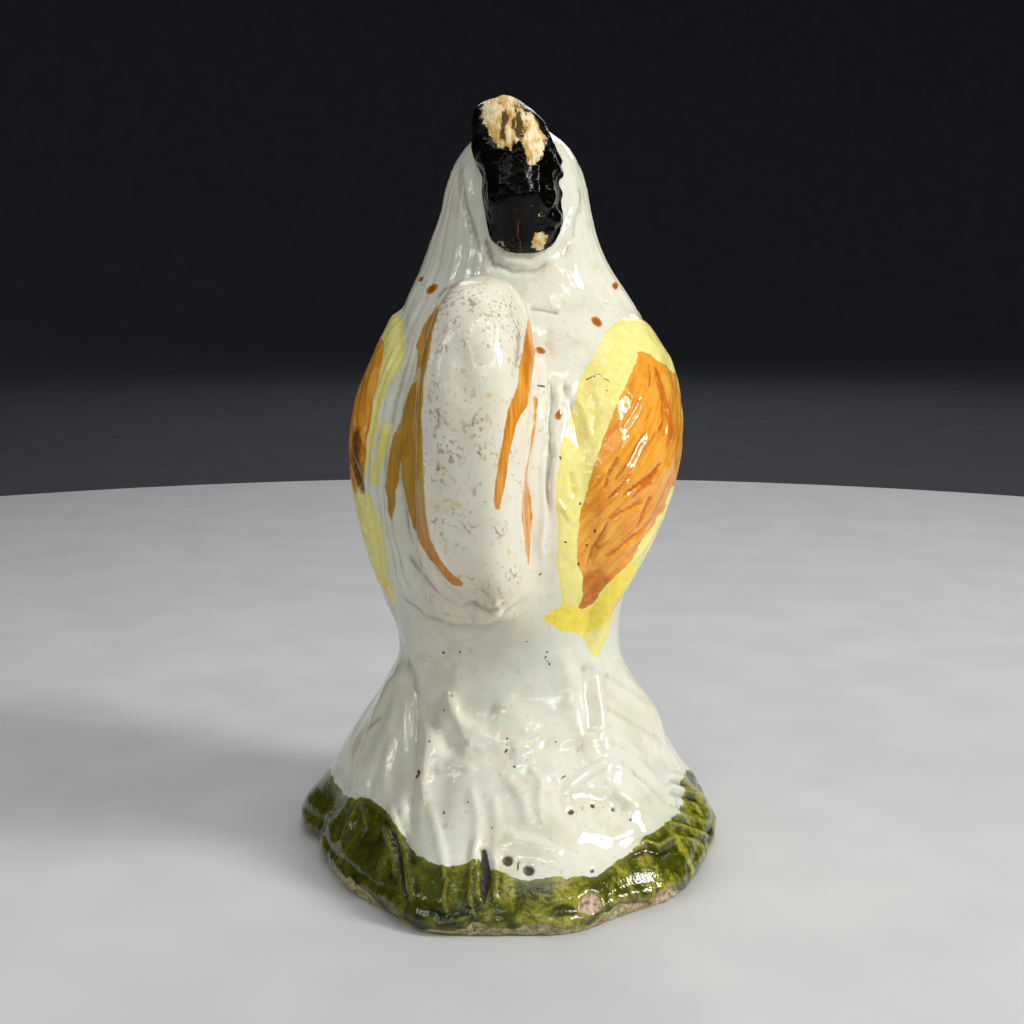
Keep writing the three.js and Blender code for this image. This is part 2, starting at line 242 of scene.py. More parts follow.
def f_tail(x, y, z):
    reach = np.where(y > TAIL_Y, TAIL_BACK, TAIL_FRONT)
    t = (z - TAIL_Z) / TAIL_RZ
    q = (np.abs((y - TAIL_Y) / reach) ** TAIL_N + np.abs(t) ** TAIL_N) ** (1 / TAIL_N)
    w = TAIL_W - 1.1 * smooth(0.1, 1.0, t) - 0.3 * smooth(0.3, 1.0, -t)
    xs = x - TAIL_X
    flare = np.where(xs > 0, TAIL_FLARE[1], TAIL_FLARE[0]) * smooth(0, 3, np.abs(xs))
    side = np.abs(xs) - w - flare * (1 - smooth(12.0, 23.0, y)) * (1 - smooth(0.25, 0.75, t)) * (1 - smooth(0.5, 0.95, -t))
    return smax((q - 1) * 11.0, side, 5.0 - 1.2 * smooth(0.4, 0.9, -t))


def comb_angle(y, z):
    ph = np.degrees(np.arctan2(z - COMB_C[1], y - COMB_C[0]))
    return np.where(ph < -120, ph + 360, ph)


def f_comb(x, y, z):
    back = smooth(-22, 0, y)
    xr = x - pchip(COMB_Z, COMB_X, z) * back - 1.0 * (1 - back)
    ph = comb_angle(y, z)
    lobe = 0
    for c in COMB_LOBES:
        lobe = lobe + 0.55 * hump(ph, c, 12)
    ring = np.hypot(y - COMB_C[0], z - COMB_C[1]) - (COMB_R - 0.35 + lobe + 0.8 * smooth(95, 150, ph) - 1.0 * smooth(0, 60, -ph))
    w = COMB_W - 0.15 + 0.5 * lobe + 0.5 * smooth(10, 40, ph) * (1 - smooth(60, 90, ph)) - 1.9 * smooth(62, 132, ph)
    ends = np.maximum((COMB_FROM - ph), (ph - COMB_TO)) * PI / 180 * 11
    return smax(smax(ring, np.abs(xr) - w, 5.2), ends, 5.0)


BEAK = ((0.4, -12.2, 82.8), (0.7, -21.0, 80.4), 3.5, 0.9)


def f_beak(x, y, z):
    p, q = np.array(BEAK[0]), np.array(BEAK[1])
    d = q - p
    t = np.clip(((x - p[0]) * d[0] + (y - p[1]) * d[1] + (z - p[2]) * d[2]) / (d @ d), 0, 1)
    r = BEAK[2] * np.sqrt(np.maximum(1 - t ** 1.7, 0)) * (1 - 0.35 * t) * 0.86 + 0.35 * t
    return np.sqrt((x - p[0] - t * d[0]) ** 2 * 1.25 + (y - p[1] - t * d[1]) ** 2 + (z + BEAK[3] * t * t - p[2] - t * d[2]) ** 2) - r


def part_fields(x, y, z):
    body = smin(f_body(x, y, z), ellipsoid(x, y, z, HEAD_C, HEAD_R), 3.0)
    return body, f_tail(x, y, z), f_comb(x, y, z)


def field(x, y, z):
    body, tail, comb = part_fields(x, y, z)
    d = smin(smin(body, tail, 2.2), comb, 0.9)
    near = (z > 66) & (y < 2)
    n = [v[near] for v in (x, y, z)]
    e = smin(d[near], f_beak(*n), 1.5)
    for s in (-1, 1):
        e = smin(e, ellipsoid(*n, (0.5 + s * 2.3, -14.4, 74.9), (2.1, 2.4, 4.5)), 1.0)
        e = smin(e, ellipsoid(*n, (0.2 + s * 6.35, -11.4, 83.8), (1.2, 1.5, 1.5)), 0.5)
    d[near] = e
    return np.maximum(d, -z)


# ------------------------------------------------------------------------------------------------ mesh of the form
def surface_nets(step, lo=(-30, -35, -1.5), hi=(31, 36, 97)):
    axes = [np.arange(a, b + step, step) for a, b in zip(lo, hi)]
    shape = [len(a) for a in axes]
    # the field is worked out only near the surface, found on a coarse grid first
    big = 4
    coarse = [a[::big] for a in axes]
    X, Y, Z = np.meshgrid(*coarse, indexing='ij')
    near = np.abs(field(X.ravel(), Y.ravel(), Z.ravel()).reshape(X.shape)) < step * big * 1.9
    near = np.repeat(np.repeat(np.repeat(near, big, 0), big, 1), big, 2)
    pad = [(0, max(0, n - m)) for n, m in zip(shape, near.shape)]
    near = np.pad(near, pad, mode='edge')[:shape[0], :shape[1], :shape[2]]
    grown = near.copy()
    for ax in range(3):
        for shift in (-big, big):
            grown |= np.roll(near, shift, axis=ax)
    X, Y, Z = np.meshgrid(*coarse, indexing='ij')
    rough = field(X.ravel(), Y.ravel(), Z.ravel()).reshape(X.shape)
    V = np.repeat(np.repeat(np.repeat(rough, big, 0), big, 1), big, 2)
    V = np.pad(V, pad, mode='edge')[:shape[0], :shape[1], :shape[2]]
    i, j, k = np.nonzero(grown)
    V[i, j, k] = field(axes[0][i], axes[1][j], axes[2][k])
    inside_ = V < 0
    n = [s - 1 for s in shape]
    s = sum(inside_[a:a + n[0], b:b + n[1], c:c + n[2]].astype(np.int8) for a in (0, 1) for b in (0, 1) for c in (0, 1))
    active = (s > 0) & (s < 8)
    idx = -np.ones(active.shape, np.int64)
    cells = np.argwhere(active)
    idx[active] = np.arange(len(cells))
    acc, cnt = np.zeros((len(cells), 3)), np.zeros(len(cells))
    ci, cj, ck = cells.T
    for ax in range(3):
        for u in (0, 1):
            for v in (0, 1):
                o = [0, 0, 0]
                o[(ax + 1) % 3], o[(ax + 2) % 3] = u, v
                a0 = (ci + o[0], cj + o[1], ck + o[2])
                o2 = list(o)
                o2[ax] = 1
                a1 = (ci + o2[0], cj + o2[1], ck + o2[2])
                v0, v1 = V[a0], V[a1]
                m = (v0 < 0) != (v1 < 0)
                t = np.where(m, v0 / np.where(m, v0 - v1, 1), 0)
                p = np.stack(a0, 1).astype(float)
                p[:, ax] += t
                acc[m] += p[m]
                cnt[m] += 1
    co = acc / cnt[:, None] * step + np.array([a[0] for a in axes])
    faces = []
    for ax in range(3):
        s0, s1 = [slice(None)] * 3, [slice(None)] * 3
        s0[ax], s1[ax] = slice(0, -1), slice(1, None)
        a, b = inside_[tuple(s0)], inside_[tuple(s1)]
        e = np.argwhere(a != b)
        b1, b2 = (ax + 1) % 3, (ax + 2) % 3
        e = e[(e[:, b1] > 0) & (e[:, b2] > 0) & (e[:, b1] < shape[b1] - 1) & (e[:, b2] < shape[b2] - 1)]
        flip = ~a[tuple(e.T)]

        def at(d1, d2):
            q = e.copy()
            q[:, b1] -= d1
            q[:, b2] -= d2
            return idx[tuple(q.T)]
        q = np.stack([at(1, 1), at(0, 1), at(0, 0), at(1, 0)], 1)
        q[flip] = q[flip][:, ::-1]
        faces.append(q)
    return co, np.concatenate(faces)


def gradient(p, h=0.12):
    g = np.empty_like(p)
    for ax in range(3):
        a, b = p.copy(), p.copy()
        a[:, ax] += h
        b[:, ax] -= h
        g[:, ax] = (field(*a.T.copy()) - field(*b.T.copy())) / (2 * h)
    return g


def face_normals_to_vertices(co, quads):
    n = np.cross(co[quads[:, 2]] - co[quads[:, 0]], co[quads[:, 3]] - co[quads[:, 1]])
    out = np.zeros_like(co)
    for c in range(4):
        for ax in range(3):
            out[:, ax] += np.bincount(quads[:, c], weights=n[:, ax], minlength=len(co))
    return out / (np.linalg.norm(out, axis=1)[:, None] + 1e-12)


def settle(co, rounds=2):
    """Moves points onto the surface exactly."""
    for _ in range(rounds):
        g = gradient(co)
        d = field(*co.T.copy())
        co = co - np.clip((d / np.maximum((g ** 2).sum(1), 0.25))[:, None] * g, -0.4, 0.4)
    co[:, 2] = np.maximum(co[:, 2], 0)
    return co


def refine(co, quads, chosen):
    """Cuts the chosen quads in four; their neighbours take the new edge points in as polygons."""
    n = len(co)
    sub = quads[chosen]
    pairs = np.sort(np.stack([sub, np.roll(sub, -1, axis=1)], 2), axis=2)
    flat = pairs[..., 0] * n + pairs[..., 1]
    keys, inv = np.unique(flat, return_inverse=True)
    inv = inv.reshape(flat.shape)
    mids = (co[keys // n] + co[keys % n]) / 2
    centres = co[sub].mean(1)
    m = n + inv
    c = n + len(keys) + np.arange(len(sub))
    fine = np.concatenate([np.stack([sub[:, k], m[:, k], c, m[:, k - 1]], 1) for k in range(4)])
    rest = quads[~chosen]
    pr = np.sort(np.stack([rest, np.roll(rest, -1, axis=1)], 2), axis=2)
    fr = pr[..., 0] * n + pr[..., 1]
    at = np.clip(np.searchsorted(keys, fr), 0, len(keys) - 1)
    hit = keys[at] == fr
    mixed = hit.any(1)
    many = []
    for row, hits, where in zip(rest[mixed], hit[mixed], at[mixed]):
        poly = []
        for k in range(4):
            poly.append(int(row[k]))
            if hits[k]:
                poly.append(n + int(where[k]))
        many.append(poly)
    return np.concatenate([co, mids, centres]), np.concatenate([rest[~mixed], fine]), many


co, quads = surface_nets(STEP)
co = settle(co, 3)
_g = gradient(co)
_g /= np.linalg.norm(_g, axis=1)[:, None] + 1e-9
_c = CAM_POS - co
_c /= np.linalg.norm(_c, axis=1)[:, None]
_f = ((_g * _c).sum(1) > 0.02) & (co[:, 2] > 0.05)
co, quads, many = refine(co, quads, _f[quads].sum(1) >= 3)
co = settle(co, 2)
fans = np.array([[q[0], q[k], q[k + 1], q[k + 1]] for q in many for k in range(1, len(q) - 1)], dtype=np.int64).reshape(-1, 4)
shaded = np.concatenate([quads, fans])            # every face as four corners, for normals
_e = [quads[:, [a, (a + 1) % 4]] for a in range(4)] + [np.array([[q[k - 1], q[k]] for q in many for k in range(len(q))], dtype=np.int64).reshape(-1, 2)]
edges = np.unique(np.sort(np.concatenate(_e), axis=1), axis=0)
valence = np.bincount(edges.ravel(), minlength=len(co))


def spread(values, rounds):
    """Averages a per-vertex value over its neighbours."""
    v = values.copy()
    for _ in range(rounds):
        s = np.bincount(edges[:, 0], weights=v[edges[:, 1]], minlength=len(v)) + np.bincount(edges[:, 1], weights=v[edges[:, 0]], minlength=len(v))
        v = 0.5 * v + 0.5 * s / np.maximum(valence, 1)
    return v


normal = face_normals_to_vertices(co, shaded)
base = co.copy()

# ------------------------------------------------------------------------------------------------ where things are
x, y, z = base.T
deg = body_deg(x, y, z)
body_d, tail_d, comb_d = part_fields(x, y, z)
px, py = view_xy(base)
to_cam = CAM_POS - base
to_cam /= np.linalg.norm(to_cam, axis=1)[:, None]
facing = (normal * to_cam).sum(1)
seen = smooth(0.02, 0.28, facing)                 # 1 where the main view sees the surface squarely, 0 on the far side
behind = (px > 395) & (px < 545) & (py > 262) & (py < 625) & (y > 5)
on_tail = np.where(behind | (y > 8), np.minimum(body_d, comb_d) - tail_d, -5)      # positive on the tail
on_comb = np.minimum(body_d, tail_d) - comb_d     # positive on the comb
MM = 0.125                                        # mm to one unit of the view's frame at the figure

# ------------------------------------------------------------------------------------------------ relief
relief = np.zeros(len(co))


def ridge(pts, width, height, taper=True, mask=1.0):
    """A rounded ridge (or groove) along a line in the main view; width is its half width in the view's units."""
    global relief
    d, t = along(px, py, pts)
    fade = smooth(0, 0.12, t) * (1 - smooth(0.85, 1, t)) if taper else 1.0
    relief += height * np.exp(-(d / width) ** 2) * fade * seen * mask


# soft unevenness of hand-pressed clay under thick glaze
relief += 0.16 * vnoise(base, 6.0, 1) + 0.075 * vnoise(base, 2.8, 2) + 0.03 * vnoise(base, 1.4, 3)

# hackles: fine vertical furrows down the neck, following its flare
not_tail = 1 - smooth(-1.2, 0.2, on_tail)
not_comb = 1 - smooth(-1.0, 0.3, on_comb)
neck = smooth(60, 68, z) * (1 - smooth(84, 90, z)) * not_tail * not_comb
warped = deg + 5 * vnoise(base, (7, 7, 16), 4)
flank = 0.12 + 0.95 * hump(deg, 30, 42) + 0.30 * hump(deg, 178, 22) + 0.75 * hump(deg, 262, 62)
relief += neck * flank * (0.10 - 0.04 * seen) * (np.cos(np.radians(warped * 37)) + 0.7 * np.cos(np.radians(warped * 61 + 40)))
relief += neck * (0.4 + 0.6 * flank) * 0.16 * vnoise(np.stack([deg / 360 * 60, np.zeros_like(z), z / 9], 1), (2.0, 1, 1.0), 6)
relief += neck * 0.16 * vnoise(base, 4.0, 45)

# wings: long feathers raised towards the tip, with a bevelled edge
for side in (-1, 1):
    a = mirror_deg(deg, side)
    sd = -wing_edge(deg, z, side)
    on = smooth(0.2, 3.0, sd) * not_tail * np.where((x < 0) & (px > 535), 1 - 0.8 * seen, 1.0)
    u = (a - 166) * ARC
    v = z - 55
    across = u * 0.80 - v * 0.60 + 0.9 * vnoise(base, (8, 8, 8), 7)       # lines run from the shoulder back and down
    low = smooth(10, -12, v + 0.25 * u)
    quill = np.abs(((across / 2.7) % 1.0) - 0.5) * 2
    relief += on * low * (0.30 * (smooth(0.0, 0.75, quill) - 0.6))
    relief += on * 0.09 * vnoise(np.stack([across, (u + v), 0 * u], 1), (0.9, 6, 1), 8)
    relief += 0.32 * np.exp(-((sd - 0.9) / 1.0) ** 2) * smooth(34, 44, z) * not_tail          # raised edge of the wing
    relief -= 0.30 * np.exp(-((sd + 1.0) / 1.1) ** 2) * smooth(32, 44, z) * not_tail

# fine feathers between the tail and the wing on the +X side
for k, (dx, h) in enumerate([(-18, 0.22), (-10, 0.30), (-3, 0.28), (5, 0.30), (13, 0.22)]):
    ridge([(418 + dx * 0.5, 322), (407 + dx * 0.8, 360), (394 + dx, 400), (385 + dx * 0.9, 445), (381 + dx * 0.8, 490),
           (386 + dx * 0.8, 530), (396 + dx, 572), (408 + dx * 1.1, 612)], 2.9, h)
    ridge([(414 + dx * 0.5, 322), (403 + dx * 0.8, 360), (390 + dx, 400), (381 + dx * 0.9, 445), (377 + dx * 0.8, 490),
           (382 + dx * 0.8, 530), (392 + dx, 572), (404 + dx * 1.1, 612)], 2.2, -0.22)

# tail: the broad middle band with a worked edge, ribs down its sides and a lip under it
ridge([(445, 296), (432, 330), (424, 376), (421, 417), (422, 454), (424, 490), (431, 539), (444, 572), (462, 594)], 3.8, 0.24)
ridge([(436, 300), (425, 330), (416, 380), (412, 420), (412, 470), (416, 515), (427, 555), (444, 583), (466, 604), (500, 606), (526, 586)], 3.4, -0.26)
ridge([(408, 400), (403, 440), (405, 480), (413, 525), (425, 562), (444, 592)], 2.6, 0.26)
ridge([(404, 400), (398, 440), (399, 480), (407, 530), (420, 570), (440, 600)], 2.4, -0.26)
ridge([(400, 420), (394, 450), (394, 490), (400, 535), (412, 578), (432, 608)], 3.2, 0.34)
ridge([(519, 290), (528, 320), (530, 360), (527, 400), (522, 450), (519, 500), (522, 560), (520, 585)], 3.4, 0.22)
ridge([(536, 335), (539, 380), (536, 430), (531, 480), (534, 540), (533, 580)], 2.6, -0.28)
ridge([(398, 560), (408, 588), (426, 606), (455, 616), (486, 616), (506, 606)], 6.5, 0.55)
ridge([(474, 611), (488, 612), (503, 607)], 6.5, 0.95)
ridge([(404, 600), (424, 619), (450, 627), (486, 626), (512, 613), (530, 594)], 3.6, -0.50)
ridge([(440, 598), (462, 607), (480, 603)], 2.6, -0.35)

ridge([(541, 352), (545, 385), (542, 410), (547, 440), (543, 470), (546, 505), (541, 545), (544, 575)], 3.0, 0.34)
ridge([(548, 372), (553, 398), (549, 425), (551, 455), (547, 490), (550, 520)], 2.8, -0.32)
ridge([(557, 384), (560, 408), (555, 430), (553, 452)], 2.8, 0.34)
ridge([(563, 380), (570, 404), (577, 430), (582, 450)], 2.6, -0.28)
ridge([(576, 392), (586, 420), (590, 442)], 3.2, 0.26)
ridge([(590, 392), (596, 412), (594, 436)], 2.6, -0.22)
ridge([(571, 470), (573, 486), (575, 498)], 2.4, -0.30)
ridge([(556, 500), (566, 512), (574, 524)], 2.4, 0.26)
ridge([(588, 500), (580, 520), (570, 530)], 2.6, -0.16)
for half, pts in [(2.0, [(647, 431), (638, 446), (630.5, 462), (621, 473), (612, 484)]), (2.2, [(663, 459), (652, 473), (643, 481), (632, 489), (618, 498)]),
                  (2.2, [(667, 503), (654, 518), (641, 531), (627, 541), (612, 553), (598, 559)]), (2.0, [(652, 493), (646, 508), (641, 522), (635, 533)]),
                  (2.0, [(642, 501), (629, 508), (617, 514), (605, 521)]), (2.0, [(609, 518), (601, 534), (593, 549), (589, 564)]), (2.0, [(632, 470), (619, 488), (604, 502)]),
                  (2.0, [(619, 455), (609, 473), (603, 490)]), (2.0, [(640, 395), (634, 412), (622, 430)]), (2.0, [(663, 392), (666, 415), (664, 440)]), (2.0, [(661, 515), (648, 535), (634, 551), (622, 562)])]:
    ridge(pts, half, -0.26)
    ridge([(a_ + 4.2, b_ + 3.4) for a_, b_ in pts], half, 0.16)

# folds of slip behind the comb and on the neck
ridge([(457, 160), (463, 200), (476, 240), (482, 256)], 2.8, -0.42)
ridge([(463, 165), (470, 205), (482, 243)], 3.2, 0.20)
ridge([(483, 236), (490, 252), (496, 272)], 2.4, -0.35)
ridge([(489, 246), (505, 260), (528, 264), (546, 256), (562, 236), (572, 214), (580, 190)], 4.0, 0.32)
ridge([(492, 262), (512, 271), (534, 271), (552, 262)], 3.0, -0.28)
ridge([(568, 215), (571, 245), (575, 275)], 3.5, 0.22)
ridge([(583, 205), (574, 235), (560, 262)], 3.0, -0.22)
ridge([(529, 308), (545, 309), (560, 313)], 1.8, -0.45)
ridge([(548, 312), (546, 350), (552, 390), (549, 430), (545, 480), (546, 530)], 5.0, -0.20)
ridge([(577, 372), (568, 400), (560, 440), (553, 480), (552, 520)], 3.5, 0.28)

# mound: ridges and channels down the column and over the foot
ridge([(396, 628), (402, 652), (412, 690), (416, 730), (413, 770), (410, 810), (412, 850)], 5.5, -0.52)
ridge([(404, 640), (414, 668), (424, 705), (427, 750), (424, 790), (421, 830)], 5.2, 0.22)
ridge([(432, 660), (440, 700), (446, 750), (443, 790), (440, 850)], 8.0, -0.14)
ridge([(402, 655), (416, 690), (430, 722), (448, 745), (468, 757)], 7.5, -0.48)
ridge([(420, 650), (436, 684), (452, 710), (470, 730), (492, 742)], 8.5, 0.40)
ridge([(403, 660), (398, 690), (392, 720), (386, 760), (384, 800)], 5.2, 0.36)
ridge([(394, 672), (384, 700), (372, 728), (361, 752), (352, 790)], 4.4, 0.42)
ridge([(402, 700), (390, 735), (372, 775), (360, 815), (352, 850)], 5.0, -0.32)
ridge([(372, 716), (360, 745), (350, 770), (343, 800)], 3.4, -0.24)
ridge([(366, 775), (366, 800), (363, 825)], 3.0, 0.22)
ridge([(389, 800), (398, 830), (405, 870), (404, 900)], 4.0, 0.28)
ridge([(396, 805), (405, 835), (412, 868)], 3.4, -0.24)
ridge([(420, 770), (428, 800), (436, 828), (442, 855), (446, 890)], 5.0, 0.22)
ridge([(470, 780), (478, 820), (476, 860), (478, 905)], 5.0, 0.26)
ridge([(494, 790), (497, 830), (494, 870), (496, 910)], 4.6, 0.26)
ridge([(597, 655), (599, 690), (603, 730), (610, 760)], 5.0, 0.45)
ridge([(610, 760), (596, 768), (580, 778), (563, 792)], 3.4, 0.45)
ridge([(610, 760), (630, 775), (650, 795), (668, 818)], 3.6, 0.50)
ridge([(587, 660), (588, 700), (592, 740)], 5.0, -0.26)
ridge([(529, 768), (541, 780), (539, 806), (545, 830)], 4.0, 0.22)
ridge([(566, 800), (585, 796), (610, 800), (632, 812)], 9.0, -0.45)
for k, (y0, sl, dep) in enumerate([(672, 20, 0.30), (690, 27, 0.20), (704, 25, 0.34), (722, 32, 0.22), (737, 30, 0.30), (758, 36, 0.22)]):   # shallow channels fanning down the right
    ridge([(603 + k, y0), (617 + 2 * k, y0 + sl * 0.35), (632 + 4 * k, y0 + sl * 0.75), (648 + 7 * k, y0 + sl * 1.5)], 5.0, -0.75 * dep)
    ridge([(605 + k, y0 + 8), (620 + 2 * k, y0 + 9 + sl * 0.35), (636 + 4 * k, y0 + 9 + sl * 0.8), (654 + 7 * k, y0 + 10 + sl * 1.6)], 4.2, dep * 0.5)
for yy, hh in ((779, 0.30), (791, 0.42), (803, 0.30), (817, 0.36), (828, 0.26)):      # ribs across the green edge on the far right
    ridge([(664, yy - 6), (680, yy - 2), (696, yy + 3), (712, yy + 9)], 2.8, hh)
    ridge([(668, yy + 1), (684, yy + 5), (700, yy + 10), (714, yy + 16)], 2.4, -hh * 0.8)
ridge([(630, 850), (645, 842), (658, 846), (672, 838), (684, 840), (698, 842)], 3.2, 0.42)
ridge([(628, 858), (645, 851), (660, 855), (674, 848), (690, 850)], 3.0, -0.30)
# swellings and a hollow on the column and the foot
ridge([(560, 648), (567, 668), (571, 690), (568, 712)], 8.0, 0.26)
ridge([(583, 662), (585, 690), (586, 716), (590, 740)], 6.0, -0.26)
ridge([(436, 690), (450, 705), (470, 712), (500, 712)], 13.0, -0.34)
ridge([(500, 700), (520, 720), (532, 740)], 11.0, 0.26)
ridge([(540, 742), (560, 752), (585, 748)], 8.0, -0.34)
ridge([(505, 775), (523, 800), (530, 830)], 6.0, 0.30)
ridge([(470, 742), (494, 756), (517, 752)], 9.0, -0.30)
ridge([(446, 690), (466, 738), (486, 752), (512, 748), (532, 742)], 5.0, 0.22)
ridge([(548, 776), (560, 796), (566, 826)], 5.0, -0.2)
ridge([(612, 792), (640, 806), (664, 812)], 5.0, 0.30)
ridge([(575, 830), (610, 838), (640, 828)], 7.0, 0.28)
ridge([(500, 836), (530, 846), (566, 852)], 8.0, 0.22)
ridge([(434, 770), (456, 764), (476, 770)], 5.0, 0.26)
# the crease that parts the lobe at the far left of the foot
ridge([(357, 792), (349, 808), (340, 824), (331, 844)], 3.4, -0.62)
ridge([(364, 796), (356, 812), (347, 830), (340, 850)], 3.4, 0.40)
ridge([(362, 800), (365, 815), (368, 832)], 2.2, 0.30)
ridge([(392, 828), (398, 850), (403, 880), (405, 905)], 2.6, -0.50)
ridge([(399, 826), (406, 850), (411, 880), (414, 905)], 3.0, 0.34)
ridge([(384, 822), (391, 850), (395, 880)], 2.6, 0.25)

# the lower edge of the base: a lip, uneven, with chips
rim = (1 - smooth(1.4, 4.2, z)) * smooth(0.0, 0.3, z) * smooth(-0.2, 0.5, normal[:, 2] + 0.7)
relief += rim * (0.30 * vnoise(base, (3.2, 3.2, 1.6), 9) + 0.18 * vnoise(base, (1.3, 1.3, 1.2), 10))
lip_line = 2.2 + 0.5 * vnoise(base, (5, 5, 5), 12)
relief -= 0.30 * np.exp(-((z - lip_line - 0.9) / 0.55) ** 2) * (0.5 + 0.5 * smooth(-0.3, 0.4, vnoise(base, (6, 6, 6), 13)))


def spot(cx, cy, rx, ry, turn=0.0):
    """Signed distance (view's units) to a tilted oval in the main view, positive inside."""
    c, s = math.cos(math.radians(turn)), math.sin(math.radians(turn))
    u, v = (px - cx) * c + (py - cy) * s, -(px - cx) * s + (py - cy) * c
    return (1 - np.hypot(u / rx, v / ry)) * min(rx, ry)


chip_sd = np.maximum.reduce([inside(px, py, [(580, 914), (579, 905), (584, 897), (590, 893), (597, 894), (600, 902), (601, 911), (592, 915)]), inside(px, py, [(652, 901), (658, 895), (668, 889), (677, 887), (681, 892), (674, 899), (664, 904), (655, 906)]), spot(630, 906, 20, 3.0, -6),
                             spot(545, 928, 11, 3.6, 4), spot(352, 900, 5, 3, 40)])
chip_sd = np.where(facing > -0.1, chip_sd, -20) + 2.2 * vnoise(base, (0.9, 0.9, 0.9), 14)
relief -= 0.55 * smooth(-1.5, 4.0, chip_sd)
for cx, cy, r in [(507.5, 861, 4.2), (528.5, 870, 4.6), (571, 812, 3.2), (594, 805, 2.6), (614, 809, 2.4), (592, 871, 2.0), (417, 773, 3.0)]:
    relief -= 0.35 * smooth(-2.5, 2.0, spot(cx, cy, r, r)) * (facing > 0)
# glaze drawn up into thin rims beside the firing crack
ridge([(483, 834), (475, 845), (471, 872), (470, 900), (477, 923)], 2.5, 0.34)
ridge([(495, 858), (498, 880), (494, 906)], 2.5, 0.30)
ridge([(442, 862), (447, 880), (444, 900), (448, 919)], 2.7, 0.32)
crack_line = [(483, 851, 2.6), (485, 862, 4.2), (486, 880, 5.0), (484.5, 893, 4.0), (483, 903, 1.2)]
crack_sd = stroke(px, py, crack_line) + 1.6 * vnoise(base, (0.8, 0.8, 1.0), 15)
crack_sd = np.where(facing > 0, crack_sd, -20)
relief -= 0.75 * smooth(-2.0, 3.0, crack_sd)

# comb: dents and worn facets
relief += smooth(-0.5, 1.0, on_comb) * (0.22 * vnoise(base, 2.4, 16) + 0.10 * vnoise(base, 1.1, 17))
comb_on = smooth(-0.5, 0.8, on_comb)
ridge([(517, 210), (519, 230), (521, 250)], 2.2, -0.30, mask=comb_on)
ridge([(541, 150), (538, 175), (541, 200), (548, 214)], 3.4, 0.34, mask=comb_on)
ridge([(547, 178), (548, 192), (549, 204)], 4.0, -0.42, mask=comb_on)
ridge([(553, 212), (557, 218), (556, 226)], 5.0, 0.45, mask=comb_on)
ridge([(500, 171), (503, 182)], 8.0, 0.42, taper=False, mask=comb_on)
ridge([(502, 176), (503, 179)], 3.0, -0.25, taper=False, mask=comb_on)

relief *= smooth(0.0, 0.8, z)                     # the underside stays flat
limit = 1.25
relief = limit * np.tanh(relief / limit)
relief = 0.75 * relief + 0.25 * spread(relief, 1)
co = base + normal * relief[:, None]
co[:, 2] = np.where(base[:, 2] <= 0.02, 0.0, np.maximum(co[:, 2], 0.0))

# ------------------------------------------------------------------------------------------------ hollows
n2 = face_normals_to_vertices(co, shaded)
soft = np.stack([spread(co[:, a], 3) for a in range(3)], 1)
softer = np.stack([spread(co[:, a], 14) for a in range(3)], 1)
cav_fine = ((soft - co) * n2).sum(1)              # positive in hollows, mm
cav_wide = ((softer - soft) * n2).sum(1)

# ------------------------------------------------------------------------------------------------ painting, in mm
wob = 0.35 * vnoise(base, 2.2, 21) + 0.18 * vnoise(base, 0.9, 22)


def wing_paint(poly, side, scale=ARC):
    a = mirror_deg(deg, side)
    poly = np.array(poly, float)
    d = inside(a * scale, z, poly * np.array([scale, 1.0]))
    return np.where((z > 24) & (z < 70), d, -9.0)


YELLOW_R = [(196, 66.5), (184, 67.6), (166, 67.4), (149.4, 66.4), (136.5, 64.1), (129.1, 61.3), (123.5, 58), (120.2, 54.7),
            (116.4, 50.2), (115.7, 46.8), (117, 43), (118.7, 39.7), (120, 36), (121.3, 34.7), (117, 33.4), (115.5, 32.4),
            (118, 31.4), (125.5, 30.6), (134, 29.8), (140.6, 29.2), (143, 27.8), (145.5, 26.5), (148.5, 26.1), (151.5, 26.9),
            (155, 28.5), (157, 31), (159, 34), (166, 36), (173, 38.5), (182, 42), (192, 46), (202, 51.5), (208, 58), (204, 63)]
ORANGE_R = [(157, 63.4), (152, 62.8), (146, 61.2), (140, 58.6), (136.5, 56.5), (133, 53.8), (130, 51.2), (127.6, 47.7),
            (126.2, 44.5), (125.8, 41.9), (127.5, 39), (129.5, 37), (130.5, 35.2), (131.5, 33.6), (135, 33.3), (138, 34.4),
            (141.5, 36.2), (147.4, 38.9), (154, 41.6), (161, 44.2), (169, 47.5), (177, 52), (181, 56), (179, 60), (172, 63), (164, 63.8)]
YELLOW_L = [(197, 66), (184, 67.4), (168, 67.4), (150, 67.0), (143.5, 65.6), (132, 62.6), (131.5, 59.2), (132.5, 55.9), (132, 53.9),
            (133.5, 50.9), (137, 48.2), (142, 46.6), (138.5, 45.8), (135.4, 46.2), (134, 43.5), (133.5, 39), (136, 35.6), (139, 32.6),
            (146, 31.6), (152, 33.4), (158, 36), (168, 39), (180, 43), (192, 48), (201, 54), (204, 60)]
ORANGE_L = [(158, 64.4), (150, 63.8), (143, 61.8), (138.5, 58.9), (136.4, 55), (136.2, 51.2), (139, 48.3), (145, 45.8), (152, 45.6),
            (162, 48), (172, 52), (178, 56.5), (176, 61), (168, 64)]
